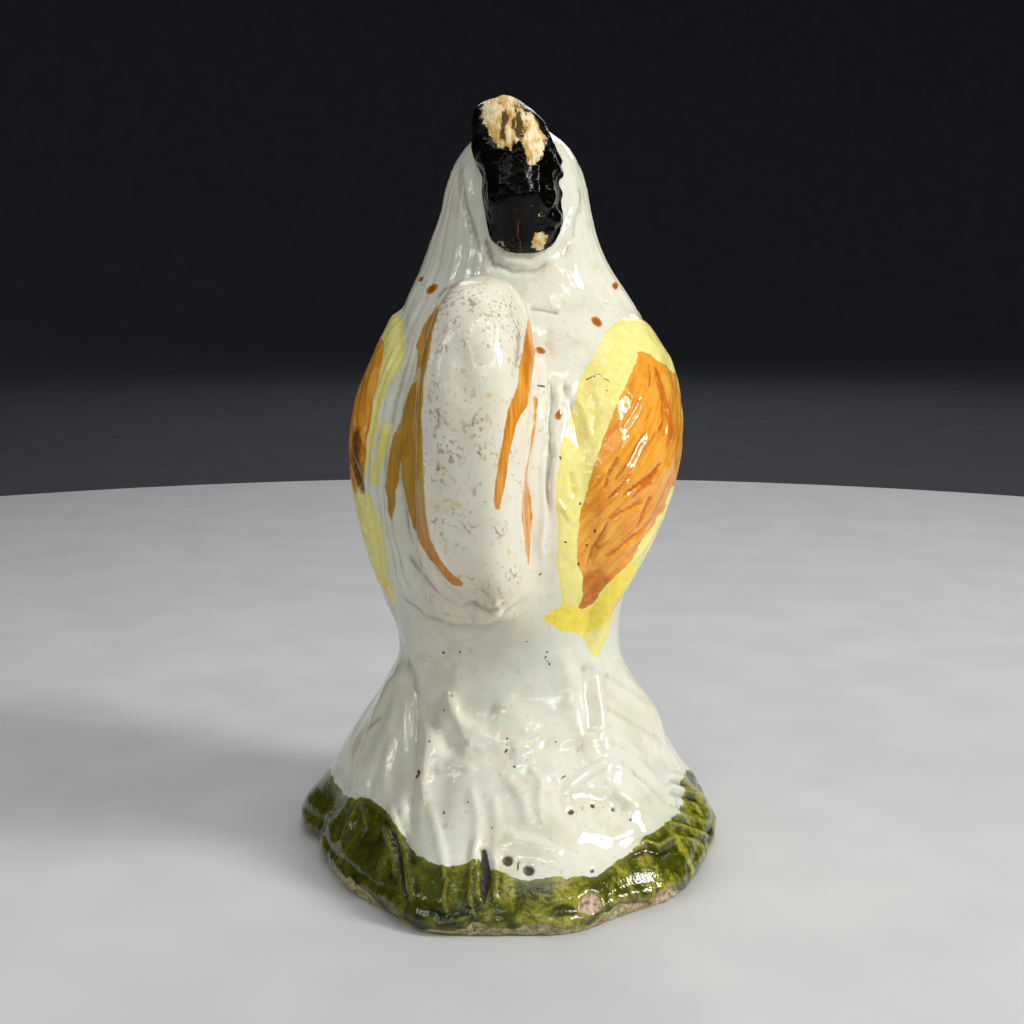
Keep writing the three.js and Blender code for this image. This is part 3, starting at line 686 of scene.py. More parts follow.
YELLOW_VIEW = [(633, 317), (624.5, 318.5), (614.8, 322.5), (606.4, 331), (600.3, 342), (594.2, 353), (588.2, 364), (582, 375), (578.5, 383.6), (576, 394.5),
               (572.4, 411.5), (567.6, 428.5), (562.7, 440), (560.3, 455), (557.9, 469.7), (555.8, 485), (556.8, 508), (558.7, 523.6), (557.4, 546.5),
               (556.8, 567), (560, 578.4), (560.6, 592.4), (561, 607), (550.4, 611.6), (542.6, 618.6), (550.4, 625), (560.6, 630.9), (578.5, 634.5),
               (584.8, 641), (588.7, 649.8), (592.5, 656.2), (598.9, 657.5), (604, 646), (607.5, 634.5), (612.6, 616), (622, 598), (720, 598), (720, 317)]
ORANGE_VIEW = [(636.7, 352), (635.5, 363), (627, 382), (619.7, 397), (613.6, 411.5), (607.6, 427), (601.5, 444), (595.5, 461), (590, 480), (583.6, 505.7),
               (579.7, 527), (577.2, 551.6), (578.5, 564.4), (583, 575), (582.6, 586), (583.4, 595), (578.2, 607.2), (581, 609.6), (586, 609), (593.8, 602.7),
               (600, 592.4), (610.4, 579.7), (619.3, 572), (629.5, 561.8), (641, 545), (655, 525), (665, 506), (671, 486), (720, 470), (720, 395), (674, 374), (667, 365.5),
               (657.3, 361.5), (651, 355.5), (644, 352)]
view_side = (x < 0) & (facing > 0.0) & (deg < 186) & (px > 535)      # the wing as the main view sees it
mm_side = MM * (0.55 + 0.45 * np.clip(facing, 0, 1))
yellow = np.where(view_side, inside(px, py, YELLOW_VIEW) * mm_side, np.maximum(wing_paint(YELLOW_R, -1), wing_paint(YELLOW_L, 1)) + wob * 0.6)
orange = np.where(view_side, inside(px, py, ORANGE_VIEW) * mm_side, np.maximum(wing_paint(ORANGE_R, -1), wing_paint(ORANGE_L, 1)) + wob * 0.45)
yellow, orange = yellow + 0.10 * vnoise(base, 1.2, 41), orange + 0.10 * vnoise(base, 1.2, 42)
LOBE = [(542, 618.6), (550.4, 611), (561, 607), (572, 604.6), (584, 609.5), (592, 606), (600, 596), (607, 587.5), (614, 579), (622, 571.5), (630, 563),
        (637, 560), (625, 592), (615, 608), (608, 620), (601, 627.5), (591, 633.4), (578, 633.6), (561, 631.4), (550, 626)]
low_left = 35.0 - z + 0.9 * vnoise(base, 3.0, 23)
deep_yellow = np.where(view_side, inside(px, py, LOBE) * MM, np.where(z < 50, low_left * 0.5, -6.0)) + 0.08 * vnoise(base, 1.0, 43)
ORANGE_TIP = [(574, 577), (583, 576), (590, 572), (598, 570), (606, 574), (611, 579), (604, 590), (596, 603), (586, 612), (575, 611)]
tip_dark = np.where(view_side, inside(px, py, ORANGE_TIP) * MM, np.where((z < 38) & (deg > 0), (37.5 - z) * 0.5, -6.0)) + 0.25 * vnoise(base, 1.6, 44)


def lines(items, reach=1.0):
    """Soft brush lines in the main view: 1 in the middle, 0 away from them."""
    out_ = np.zeros(len(px))
    for half, pts in items:
        d, t = along(px, py, pts)
        out_ = np.maximum(out_, np.exp(-(d / (half * reach)) ** 2) * smooth(0, 0.15, t) * (1 - smooth(0.8, 1, t)))
    return np.where(facing > 0.0, out_, 0.0)


STREAKS = [(3.2, [(652, 359), (658.5, 377), (663.5, 392), (668, 410), (669, 432), (665, 458)]), (2.2, [(655, 374), (661, 396), (662, 420), (656, 440)]),
           (1.5, [(647, 431), (638, 446), (630.5, 462), (621, 473), (612, 484)]), (1.5, [(664, 418), (655, 434), (645, 448), (636, 462)]),
           (2.0, [(663, 459), (652, 473), (643, 481), (632, 489), (622, 496)]), (1.6, [(655, 481), (640, 490), (629, 497)]),
           (3.0, [(660, 466), (650, 478), (641, 488), (632, 497), (627, 503)]), (2.6, [(652, 493), (646, 508), (641, 522), (637, 532)]),
           (1.3, [(642, 501), (629, 508), (617, 514), (607, 520)]), (1.7, [(667, 503), (654, 518), (641, 531), (627, 541), (612, 553), (598, 559)]),
           (1.3, [(639, 524), (626, 536), (618, 543)]), (1.2, [(632, 470), (619, 488), (606, 500), (600, 505)]),
           (1.4, [(609, 518), (601, 534), (593, 549), (589, 562), (586, 572)]), (2.4, [(613, 541), (604, 543), (594, 550)]),
           (1.2, [(661, 515), (648, 535), (634, 551), (622, 562)]), (1.3, [(619, 455), (609, 473), (604, 488)]), (1.2, [(640, 395), (634, 412), (624, 428)]),
           (1.3, [(672, 470), (660, 500), (645, 524)]), (1.5, [(648, 360), (650, 376), (648, 392)])]
feather_lines = lines(STREAKS, 0.85) * smooth(-0.1, 0.5, orange)
view_ok = np.where(facing > 0.0, 0.0, -30.0)
dab_yellow = stroke(px, py, [(387, 426, 4.0), (381, 450, 3.4), (374, 483, 2.2)]) * MM + view_ok
yellow = np.maximum(yellow, dab_yellow)
dark_wing = stroke(px, py, [(358, 430, 2.2), (356, 455, 4.6), (358, 478, 4.2), (362, 492, 1.0)]) * MM + view_ok

TAIL_BAND = [(439.4, 303.6), (431, 315), (423.6, 325.4), (419, 338), (415, 346), (417.5, 352), (416.5, 364), (414, 379), (406.7, 395.7), (402, 408),
             (399.4, 420), (397.5, 449), (401, 473), (404, 492.6), (411, 517), (418.8, 539.5), (428.5, 559.5), (443, 576.5),
             (452.7, 584.5), (463.6, 585.7), (462, 581), (452.7, 574.5), (441, 560), (431.5, 538.7), (427, 516.8), (425.5, 490),
             (424.5, 453.8), (422.8, 417.5), (425.8, 376.3), (433, 332.7), (438.8, 312)]
PATCH = [(398.5, 422), (393.5, 436), (391, 450), (387.5, 468.4), (385, 487.8), (388.5, 512), (393.3, 526), (397.5, 507), (396.5, 490), (398.8, 473), (399.8, 445)]
STROKE_1 = [(526.2, 317), (524.6, 337.5), (521.7, 357), (518, 386), (508.8, 410), (503.2, 439.3), (498.2, 463.5), (493.4, 497.5),
            (495.5, 510), (499.2, 510.5), (504, 490), (509, 454.8), (516.5, 425.8), (526, 406.4), (530.8, 377), (534.6, 350), (531, 336)]
STROKE_2 = [(537.6, 396), (535.8, 425), (530.5, 452), (525, 473), (522.6, 492.6), (520.3, 516.8), (522.8, 539), (527.5, 564), (529, 566),
            (530.5, 543.5), (534.4, 518), (532, 493), (528.5, 472), (533, 452), (538, 425), (539.8, 397)]
tail_brown = np.maximum(inside(px, py, TAIL_BAND), inside(px, py, PATCH)) * MM + wob * 0.25
tail_orange = np.maximum(inside(px, py, STROKE_1), inside(px, py, STROKE_2)) * MM + wob * 0.22
turned = (facing + 0.02 + 0.05 * vnoise(base, 2.6, 77)) * 8.0      # the strokes end unevenly where the tail turns away
tail_brown, tail_orange = np.minimum(tail_brown, turned), np.minimum(tail_orange, turned)
# the same kind of strokes, plainer, on the tail's front edge and the far sides
plain = np.where((facing < 0.15) & (on_tail > 0.2) & (y > 9), 1.0, 0.0)
far_side = stroke(y, z, [(15.5, 69.5, 0.4), (18.5, 62, 1.1), (19.5, 52, 1.3), (18.0, 42, 0.8), (17.4, 38, 0.2)])
flank = stroke(y, z, [(24.6, 66.5, 0.5), (23.6, 61.5, 2.3), (22.7, 55, 3.1), (22.4, 48.5, 2.9), (22.7, 43.5, 1.6), (23.4, 40.5, 0.4)]) + 0.35 * vnoise(base, 1.8, 55)
tail_brown = np.maximum(tail_brown, np.where((x > 2) & (facing < 0.26) & (on_tail > 0.2), flank, -9))
tail_orange = np.maximum(tail_orange, np.where((plain > 0) & (x < -2), far_side, -9))

GREEN = np.array([(-60, 7.0), (-38, 8.6), (-22, 7.2), (-8, 10.4), (6, 12.6), (16, 11.0), (22, 9.0), (30, 7.4), (37, 7.2), (41.5, 7.9), (48, 8.6), (55, 9.2), (62.4, 9.1),
                  (68, 8.2), (73, 6.9), (78, 6.0), (84, 6.0), (89, 5.9), (93, 6.8), (96, 6.9), (100, 6.2), (104, 5.0), (111, 4.7), (117, 4.7), (121, 4.6),
                  (126, 5.0), (132, 5.7), (138.6, 6.3), (146, 7.4), (155, 7.5), (163, 7.6), (171, 6.6), (180, 7.2), (188, 8.0), (200, 8.6), (214, 6.4),
                  (228, 8.2), (240, 6.0), (255, 7.8), (270, 5.6), (285, 7.4), (300, 7.0)])
gdeg = np.where(deg > 300, deg - 360, deg)
green = pchip(GREEN[:, 0], GREEN[:, 1], gdeg) - z + wob * 0.5 + 0.35 * vnoise(base, (1.3, 1.3, 2.2), 24)
GREEN_VIEW = [(300, 760), (322, 763), (330, 770), (337, 783), (345, 795), (352, 798), (360, 797), (368, 799), (378, 804), (390, 816), (400, 830), (409, 846), (417, 853),
              (427, 861), (440, 868), (452, 868), (465, 864), (474, 862), (480, 861), (487, 866), (494, 871), (500, 872), (508, 875), (515, 877), (525, 881), (535, 880),
              (545, 878), (560, 877), (568, 880), (575, 876), (583, 876), (590, 879), (600, 874), (608, 867), (620, 860), (630, 853), (636, 847), (640, 840), (650, 834),
              (659, 829), (668, 822), (677, 813), (682, 806), (683, 795), (682, 784), (684, 772), (700, 765), (760, 760), (760, 1000), (300, 1000)]
green_side = inside(px, py, GREEN_VIEW) * MM * 1.15 + wob * 0.35 + 0.18 * vnoise(base, (1.2, 1.2, 1.2), 24)
green = np.where((facing > 0.0) & (y > -18), green_side, green)
green = np.where(z < 18, green, -9)
green = np.where(base[:, 2] < 0.05, -3, green)
lip = (2.6 + 1.0 * vnoise(base, (4.5, 4.5, 3), 25) + 0.5 * vnoise(base, (1.4, 1.4, 1.4), 26) - z)
left_lip = hump(deg, 55, 38)
lip = lip - 1.65 + 0.65 * left_lip
streaks = vnoise(np.stack([gdeg * 0.42, z * 0.25, 0 * z], 1), (1.6, 1, 1), 27) * 0.6 + vnoise(np.stack([gdeg * 0.42, z * 0.35, 0 * z], 1), (0.7, 1, 1), 28) * 0.4
pools = vnoise(base, (2.6, 2.6, 2.0), 29) * 0.6 + vnoise(base, (1.1, 1.1, 1.1), 30) * 0.4

black = on_comb * 0.9 + 0.12 * vnoise(base, 1.5, 31)
WEAR = [(497, 93), (487, 99), (481, 110), (482, 119), (486, 127), (491, 136), (496, 146), (502, 149), (507, 146), (512, 151), (516, 144), (520, 139),
        (524, 131), (527, 121), (524, 110), (516, 101), (507, 94)]
WEAR_2 = [(524, 107), (531, 112), (537, 121), (541, 131), (546, 139), (543, 152), (538, 160), (533, 166), (528, 163), (525, 153), (521, 146), (522, 137), (526, 128), (526, 117)]
LOW_WEAR = [(534, 233), (541, 231), (549, 236), (547, 246), (540, 252), (532, 249), (529, 241)]
wear = np.maximum.reduce([inside(px, py, WEAR), inside(px, py, WEAR_2), inside(px, py, LOW_WEAR) - 1.2, spot(500, 246, 7.5, 1.6, 32), spot(541.5, 215.5, 2.2, 2.4)])
wear = wear * MM + 0.16 * vnoise(base, 1.2, 32)
wear = np.where(facing > -0.25, wear, -9)
left_dark = np.maximum.reduce([stroke(px, py, [(519, 101, 1.0), (517, 113, 3.2), (519, 127, 4.4), (517, 143, 2.6)]), stroke(px, py, [(500, 104, 0.6), (505, 119, 2.4), (503, 137, 1.2)]),
                               stroke(px, py, [(526, 100, 1.0), (534, 110, 2.8), (541, 124, 1.6)])]) * MM
left_dark = np.clip(left_dark, -1.0, 0.5)      # glaze still left inside the worn patch
top_wear = 0.9 - np.hypot(y + 8.0, (z - 92.6) * 1.2) * 0.28 + 0.5 * vnoise(base, 1.4, 33)      # the crest is worn further forward too
wear = np.maximum(wear, np.where((y < 0) & (z > 88) & (np.abs(x - 1.2) < 3.5), top_wear, -9))

beak_paint = np.where(z > 60, -(f_beak(x, y, z) - 0.25), -9) + 0.1 * wob                       # orange beak
wattle = np.full(len(x), -9.0)
for s in (-1, 1):
    wattle = np.maximum(wattle, -ellipsoid(x, y, z, (0.5 + s * 2.3, -14.4, 74.9), (2.3, 2.7, 4.8)) + 0.1 * wob)
eye = np.full(len(x), -9.0)
for s in (-1, 1):
    eye = np.maximum(eye, -ellipsoid(x, y, z, (0.2 + s * 6.35, -11.4, 83.8), (1.35, 1.65, 1.65)))
# painted dabs on the hidden breast, like those behind
dabs = np.full(len(x), -9.0)
for a, zz in [(205, 72), (232, 66), (262, 70), (300, 68), (330, 73), (250, 58), (285, 55), (240, 49), (300, 47), (270, 63), (318, 60), (222, 58)]:
    dabs = np.maximum(dabs, 0.62 - np.hypot(wrap(deg - a) * ARC * 0.9, (z - zz) * 0.62))

tail_mask = smooth(-0.3, 0.8, on_tail) * smooth(0.0, 0.3, facing)
GRIME = [(16, 470, 300), (12, 450, 300), (14, 500, 312), (12, 484, 322), (10, 515, 330), (9, 518, 362), (14, 447, 318), (9, 440, 350), (10, 436, 392), (10, 437, 417), (16, 442, 445),
         (14, 436, 470), (12, 452, 455), (12, 476, 425), (8, 480, 452), (7, 470, 392), (9, 465, 524), (8, 437, 523), (8, 436, 532), (8, 499, 530), (7, 474, 490), (9, 512, 577), (14, 492, 592),
         (8, 452, 515), (8, 488, 345), (6, 500, 345), (6, 462, 340), (7, 477, 296), (6, 508, 306), (9, 440, 300), (8, 520, 400), (6, 508, 455), (6, 436, 600), (6, 412, 590)]
grime = np.zeros(len(px))
for r_, cx, cy in GRIME:
    grime = np.maximum(grime, np.exp(-((px - cx) ** 2 + (py - cy) ** 2) / (r_ * 1.25) ** 2))
grime = np.where(facing > 0, grime, 0) * smooth(-0.6, 0.4, on_tail)
# dark brown lines along the creases: partly brown dirt lines, partly painted shade in the creases
grooves = lines([(1.7, [(436, 300), (444, 291), (455, 285), (468, 279)]), (1.5, [(409, 552), (416, 566), (427, 581), (444, 597)]), (1.4, [(404, 596), (412, 606), (422, 613)]),
                 (1.5, [(404, 505), (409, 530), (414, 545)]), (1.3, [(519, 330), (519, 352), (516, 372)]), (1.2, [(396, 428), (391, 455), (392, 480), (396, 505)]),
                 (1.2, [(574, 150), (577, 158), (580, 168)]), (1.2, [(579, 186), (580, 196), (578, 206)]), (1.3, [(456, 163), (458, 188), (465, 216), (475, 246)]),
                 (1.0, [(404, 642), (406, 652), (405, 668)]), (1.3, [(384, 716), (372, 729), (358, 744)]), (1.0, [(484, 240), (490, 258), (495, 271)]), (1.2, [(470, 603), (490, 607), (508, 603)])])

cloud_wide = 0.5 + 0.24 * vnoise(base, 9.0, 51) + 0.10 * vnoise(base, 3.5, 52)
cloud_mid = 0.5 + 0.22 * vnoise(base, 2.4, 53) + 0.12 * vnoise(base, 1.1, 54)
HOLES = [(443, 653, 1.2), (443, 710, 1.0), (417, 771, 2.6, 1.9, 30), (414.5, 775.5, 1.4), (571, 812, 2.6, 2.2), (593.5, 805, 2.3, 2.0), (614, 809, 1.4),
         (592.5, 871, 1.6), (506, 751, 1.1, 2.2, 30), (514, 767, 1.4, 0.9), (507, 739, 1.0), (443, 812, 1.3), (594.4, 531, 0.9, 1.9), (587.4, 546, 1.1),
         (578.6, 564.7, 1.3), (540.2, 574.3, 1.0, 1.6, 35), (542, 386, 2.2, 0.9, 25), (560.3, 458, 0.9, 2.2, -25), (460, 652, 0.9), (547, 652, 1.2, 0.8), (549, 664, 0.8, 1.5),
         (545, 658, 0.8), (527, 642, 0.9), (565, 542.5, 1.4, 0.8), (589, 378.5, 3.6, 0.55, -24), (598, 376.5, 2.0, 0.5, 10), (606, 381.5, 3.2, 0.5, 18),
         (633, 776, 2.2, 0.8, 40), (563, 777, 2.6, 0.7, -35), (630, 820, 1.4), (507.5, 861, 5.0, 4.8), (528.5, 870, 5.6, 4.6, 20), (581, 504, 1.0, 1.8, 10),
         (452, 696, 0.8), (430, 742, 0.9), (468, 802, 0.8), (650, 792, 0.9), (556, 742, 0.8), (600, 840, 0.9), (492, 828, 0.8), (606, 392, 1.2, 0.5, 60)]
DABS = [(432, 289, 6.8, 3.9, -38), (422, 279.5, 3.2, 1.8, -50), (597, 321.5, 6.6, 3.9, 33), (541, 349.8, 5.4, 3.6, 22), (559, 415, 3.4, 5.6, 20), (615, 286, 2.4, 3.6, -20)]
RUSTS = [(445, 825, 2.6, 3.4, 10), (503, 708, 3.2, 2.8), (463, 371, 3.4, 3.0), (481, 364.7, 2.6, 1.8), (457.5, 504.7, 4.2, 3.0), (437, 507, 3.4, 2.8), (489, 395, 3.0, 2.6),
         (487, 418, 2.6, 4.5), (444, 330, 2.4, 2.0), (468, 332, 2.6, 2.2), (447, 500, 3.4, 2.6), (470, 512, 2.6, 2.0), (518, 229, 0.7, 10, 4), (520.5, 246, 0.8, 6),
         (500, 775, 2.0, 3.0), (512, 836, 2.2, 2.6), (466, 812, 1.8, 1.8)]


def nearest_spot(items):
    """The centre of the nearest small spot and its two axes, all in mm of the main view, for the shader to draw crisply."""
    full = np.array([(i[0], i[1], i[2], i[3] if len(i) > 3 else i[2], math.radians(i[4]) if len(i) > 4 else 0.0) for i in items])
    best, which = np.full(len(px), 1e9), np.zeros(len(px), int)
    for k, (cx, cy, rx, ry, _) in enumerate(full):
        d = np.hypot(px - cx, py - cy) - max(rx, ry)
        near = d < best
        best, which = np.where(near, d, best), np.where(near, k, which)
    cx, cy, rx, ry, t = full[which].T
    centre = np.stack([cx * MM, cy * MM, np.zeros(len(px))], 1)
    centre[facing <= 0.02, 0] = -500.0
    return (centre, np.stack([np.cos(t) / rx, np.sin(t) / rx, 0 * t], 1) / MM, np.stack([-np.sin(t) / ry, np.cos(t) / ry, 0 * t], 1) / MM)


# ------------------------------------------------------------------------------------------------ mesh object
shift = np.array([(co[:, 0].min() + co[:, 0].max()) / 2, (co[:, 1].min() + co[:, 1].max()) / 2, 0.0])
mesh = bpy.data.meshes.new("rooster_figurine_glazed")
loops = np.concatenate([quads.ravel(), np.array([v for q in many for v in q], dtype=np.int64)]).astype(np.int32)
sizes = np.concatenate([np.full(len(quads), 4), np.array([len(q) for q in many], dtype=int)]).astype(int)
mesh.vertices.add(len(co))
mesh.vertices.foreach_set("co", ((co - shift) / 1000).ravel())
mesh.loops.add(len(loops))
mesh.loops.foreach_set("vertex_index", loops)
mesh.polygons.add(len(sizes))
mesh.polygons.foreach_set("loop_start", np.concatenate([[0], np.cumsum(sizes)[:-1]]).astype(np.int32))
mesh.update(calc_edges=True)
mesh.validate()
mesh.polygons.foreach_set("use_smooth", np.ones(len(mesh.polygons), bool))
print("triangles", int((sizes - 2).sum()))


# single values, three to a vector, in the order the material uses them
single = dict(cav_fine=cav_fine, cav_wide=cav_wide, cloud_wide=cloud_wide, cloud_mid=cloud_mid, tail_mask=tail_mask, grime=grime, grooves=grooves, yellow=yellow, deep_yellow=deep_yellow,
              feather_lines=feather_lines, orange=orange, tip_dark=tip_dark, dark_wing=dark_wing, tail_brown=tail_brown, tail_orange=tail_orange, dabs=dabs, streaks=streaks, pools=pools,
              green=green, lip=lip, chip=chip_sd * MM, crack=crack_sd * MM, black=black, wear=wear, left_dark=left_dark, beak=beak_paint, wattle=wattle, eye=eye)
names = list(single)
WHERE = {name: ("painting_%d" % (k // 3), k % 3) for k, name in enumerate(names)}
for k in range(0, len(names), 3):
    three = np.stack([np.asarray(single[name], float) for name in (names[k:k + 3] + names[:2])[:3]], 1)
    mesh.attributes.new("painting_%d" % (k // 3), 'FLOAT_VECTOR', 'POINT').data.foreach_set("vector", three.astype(np.float32).ravel())
pic = mesh.attributes.new("place", 'FLOAT_VECTOR', 'POINT')       # across and down in mm of the main view, and how squarely seen
pic.data.foreach_set("vector", np.stack([px * MM, py * MM, np.where(facing > 0.02, 0, 40.0)], 1).astype(np.float32).ravel())
for kind, items in (("hole", HOLES), ("dab", DABS), ("rust", RUSTS)):
    for part, values in zip(("at", "u", "v"), nearest_spot(items)):
        mesh.attributes.new(kind + "_" + part, 'FLOAT_VECTOR', 'POINT').data.foreach_set("vector", values.astype(np.float32).ravel())
flow = mesh.attributes.new("flow", 'FLOAT_VECTOR', 'POINT')       # across and along the wing's feathers, mm
ua = (mirror_deg(deg, -1) - 166) * ARC
ul = (mirror_deg(deg, 1) - 166) * ARC
uu = np.where(x < 0, ua, ul)
vv = z - 55
flow.data.foreach_set("vector", np.stack([uu * 0.80 - vv * 0.60, uu * 0.60 + vv * 0.80, np.where(x < 0, 0.0, 9.0)], 1).astype(np.float32).ravel())

rooster = bpy.data.objects.new("rooster_figurine_glazed", mesh)
bpy.context.scene.collection.objects.link(rooster)


# ------------------------------------------------------------------------------------------------ glaze and colours
def srgb(r, g, b):
    def lin(c):
        c = c / 255
        return c / 12.92 if c <= 0.04045 else ((c + 0.055) / 1.055) ** 2.4
    return (lin(r), lin(g), lin(b), 1.0)


class Nodes:
    def __init__(self, name):
        self.mat = bpy.data.materials.new(name)
        self.mat.use_nodes = True
        self.nt = self.mat.node_tree
        self.nt.nodes.clear()
        self.groups = {}

    def new(self, kind, **values):
        n = self.nt.nodes.new(kind)
        for k, v in values.items():
            setattr(n, k, v)
        return n

    def link(self, a, b):
        self.nt.links.new(a, b)

    def feed(self, socket, v):
        if isinstance(v, bpy.types.NodeSocket):
            self.link(v, socket)
        elif v is not None:
            socket.default_value = v

    def math(self, op, a, b=None, c=None, clamp=False):
        n = self.new("ShaderNodeMath", operation=op, use_clamp=clamp)
        for s, v in zip(n.inputs, (a, b, c)):
            self.feed(s, v)
        return n.outputs[0]

    def mix(self, fac, a, b, kind='MIX'):
        n = self.new("ShaderNodeMix", data_type='RGBA', blend_type=kind)
        self.feed(n.inputs["Factor"], fac)
        self.feed(n.inputs["A"], a)
        self.feed(n.inputs["B"], b)
        return n.outputs["Result"]

    def fmix(self, fac, a, b):
        n = self.new("ShaderNodeMix", data_type='FLOAT')
        self.feed(n.inputs["Factor"], fac)
        self.feed(n.inputs["A"], a)
        self.feed(n.inputs["B"], b)
        return n.outputs["Result"]

    def attr(self, name, out="Fac"):
        if name in WHERE:
            group, part = WHERE[name]
            if group not in self.groups:
                n = self.new("ShaderNodeAttribute", attribute_name=group)
                self.groups[group] = self.new("ShaderNodeSeparateXYZ")
                self.link(n.outputs["Vector"], self.groups[group].inputs[0])
            return self.groups[group].outputs[part]
        n = self.new("ShaderNodeAttribute", attribute_name=name)
        return n.outputs[out]

    def noise(self, vector, scale, detail=2.0, rough=0.5, out="Fac", dist=0.0):
        n = self.new("ShaderNodeTexNoise")
        self.feed(n.inputs["Vector"], vector)
        n.inputs["Scale"].default_value = scale
        n.inputs["Detail"].default_value = min(detail, max(1.0, round(math.log2(7.0 / scale))))      # nothing finer than can be seen
        n.inputs["Roughness"].default_value = rough
        n.inputs["Distortion"].default_value = dist
        return n.outputs[out]

    def stretch(self, vector, s):
        n = self.new("ShaderNodeVectorMath", operation='MULTIPLY')
        self.feed(n.inputs[0], vector)
        n.inputs[1].default_value = s
        return n.outputs[0]

    def step(self, v, a, b):
        """0 where v is below a, 1 above b, smooth between."""
        n = self.new("ShaderNodeMapRange", interpolation_type='SMOOTHSTEP', clamp=True)
        self.feed(n.inputs["Value"], v)
        n.inputs["From Min"].default_value = a
        n.inputs["From Max"].default_value = b
        return n.outputs["Result"]



def glazed(name, gloss):
    m = Nodes(name)
    coord = m.new("ShaderNodeTexCoord").outputs["Object"]
    mm = m.stretch(coord, (1000, 1000, 1000))          # object coordinates in mm
    place = m.attr("place", "Vector")
    flowv = m.attr("flow", "Vector")
    sepo = m.new("ShaderNodeSeparateXYZ")
    m.link(mm, sepo.inputs[0])
    sepp = m.new("ShaderNodeSeparateXYZ")
    m.link(place, sepp.inputs[0])

    fine = m.math('SUBTRACT', m.noise(mm, 1.4, 3, 0.6), 0.5)             # edge of brushwork
    finer = m.math('SUBTRACT', m.noise(mm, 5.0, 3, 0.6), 0.5)
    mottle = m.noise(mm, 1.1, 4, 0.65)
    tiny = m.noise(mm, 2.3, 2, 0.55)

    def edge(name, wobble=0.35, soft=0.05, shift=0.0):
        return m.step(m.math('ADD', m.attr(name), m.math('MULTIPLY', fine, wobble)), shift - soft, shift + soft)

    wobble = m.new("ShaderNodeCombineXYZ")
    m.link(fine, wobble.inputs[0])
    m.link(finer, wobble.inputs[1])
    rough_place = m.new("ShaderNodeVectorMath", operation='MULTIPLY_ADD')
    m.link(wobble.outputs[0], rough_place.inputs[0])
    rough_place.inputs[1].default_value = (0.30, 0.30, 0.0)
    m.link(place, rough_place.inputs[2])

    def nearest(kind):
        """Distance from the nearest spot of a kind: 0 in its middle, 1 on its edge."""
        off = m.new("ShaderNodeVectorMath", operation='SUBTRACT')
        m.link(rough_place.outputs[0], off.inputs[0])
        m.link(m.attr(kind + "_at", "Vector"), off.inputs[1])
        sides = []
        for part in ("_u", "_v"):
            d = m.new("ShaderNodeVectorMath", operation='DOT_PRODUCT')
            m.link(off.outputs[0], d.inputs[0])
            m.link(m.attr(kind + part, "Vector"), d.inputs[1])
            sides.append(d.outputs["Value"])
        return m.math('SQRT', m.math('MULTIPLY_ADD', sides[0], sides[0], m.math('MULTIPLY', sides[1], sides[1])))

    def union(*masks):
        out = masks[0]
        for k in masks[1:]:
            out = m.math('MAXIMUM', out, k)
        return out

    def share(mask, k):
        return m.math('MULTIPLY', mask, k)

    # creamy lead glaze: slight clouding, blue-green where it pools, and grey-brown painted shade in fine crevices
    hollow = m.attr("cav_fine")
    wide = m.attr("cav_wide")
    cloud = m.attr("cloud_wide")
    cloud2 = m.attr("cloud_mid")
    white = m.mix(m.step(cloud, 0.38, 0.66), srgb(229, 230, 213), srgb(236, 231, 212))
    white = m.mix(share(m.step(cloud2, 0.50, 0.78), 0.50), white, srgb(220, 208, 180))
    white = m.mix(share(m.step(mottle, 0.54, 0.72), 0.22), white, srgb(176, 160, 128))
    white = m.mix(share(m.step(wide, 0.03, 0.30), 0.55), white, srgb(192, 208, 188))
    # painted shade: grey-brown darkening in fine crevices
    white = m.mix(share(m.step(m.math('MULTIPLY_ADD', finer, 0.05, hollow), 0.010, 0.075), 0.60), white, srgb(160, 158, 138))
    white = m.mix(share(m.step(m.math('MULTIPLY', hollow, -1.0), 0.02, 0.08), 0.30), white, srgb(242, 239, 224))
    tint = m.step(cloud, 0.50, 0.64)                 # faint green cast low on the figure
    low = m.math('SUBTRACT', 1.0, m.step(sepo.outputs[2], 14.0, 34.0))
    white = m.mix(share(m.math('MULTIPLY', tint, low), 0.45), white, srgb(198, 206, 180))

    # specks in the glaze: a few everywhere
    speck = m.step(tiny, 0.725, 0.77)
    white = m.mix(share(speck, 0.70), white, srgb(104, 88, 60))

    # the tail is warmer and mottled with soft brown grime and a few rusty spots
    tailm = m.attr("tail_mask")
    grime = m.attr("grime")
    white = m.mix(share(tailm, 0.45), white, srgb(240, 233, 212))
    sm1 = m.noise(m.stretch(mm, (1, 1, 0.8)), 1.9, 1.8, 0.55)
    sm2 = cloud2
    blot = m.step(m.math('MULTIPLY_ADD', grime, 0.10, sm1), 0.57, 0.76)
    white = m.mix(share(m.math('MULTIPLY', blot, m.math('MULTIPLY_ADD', grime, 0.75, 0.15)), m.math('MULTIPLY', tailm, 0.80)), white, srgb(138, 98, 54))
    white = m.mix(share(m.math('MULTIPLY', m.step(sm2, 0.42, 0.68), grime), m.math('MULTIPLY', tailm, 0.14)), white, srgb(192, 180, 150))
    rust = m.math('MULTIPLY', m.step(mottle, 0.625, 0.70), tailm)
    white = m.mix(share(rust, 0.72), white, srgb(230, 176, 58))
    low_tail = m.math('MULTIPLY', m.step(sepp.outputs[1], 560 * MM, 595 * MM), tailm)
    white = m.mix(share(low_tail, 0.25), white, srgb(216, 202, 176))
    # dark brown lines along the creases: partly brown dirt, partly painted crease shade
    white = m.mix(share(m.attr("grooves"), 0.62), white, srgb(126, 100, 76))

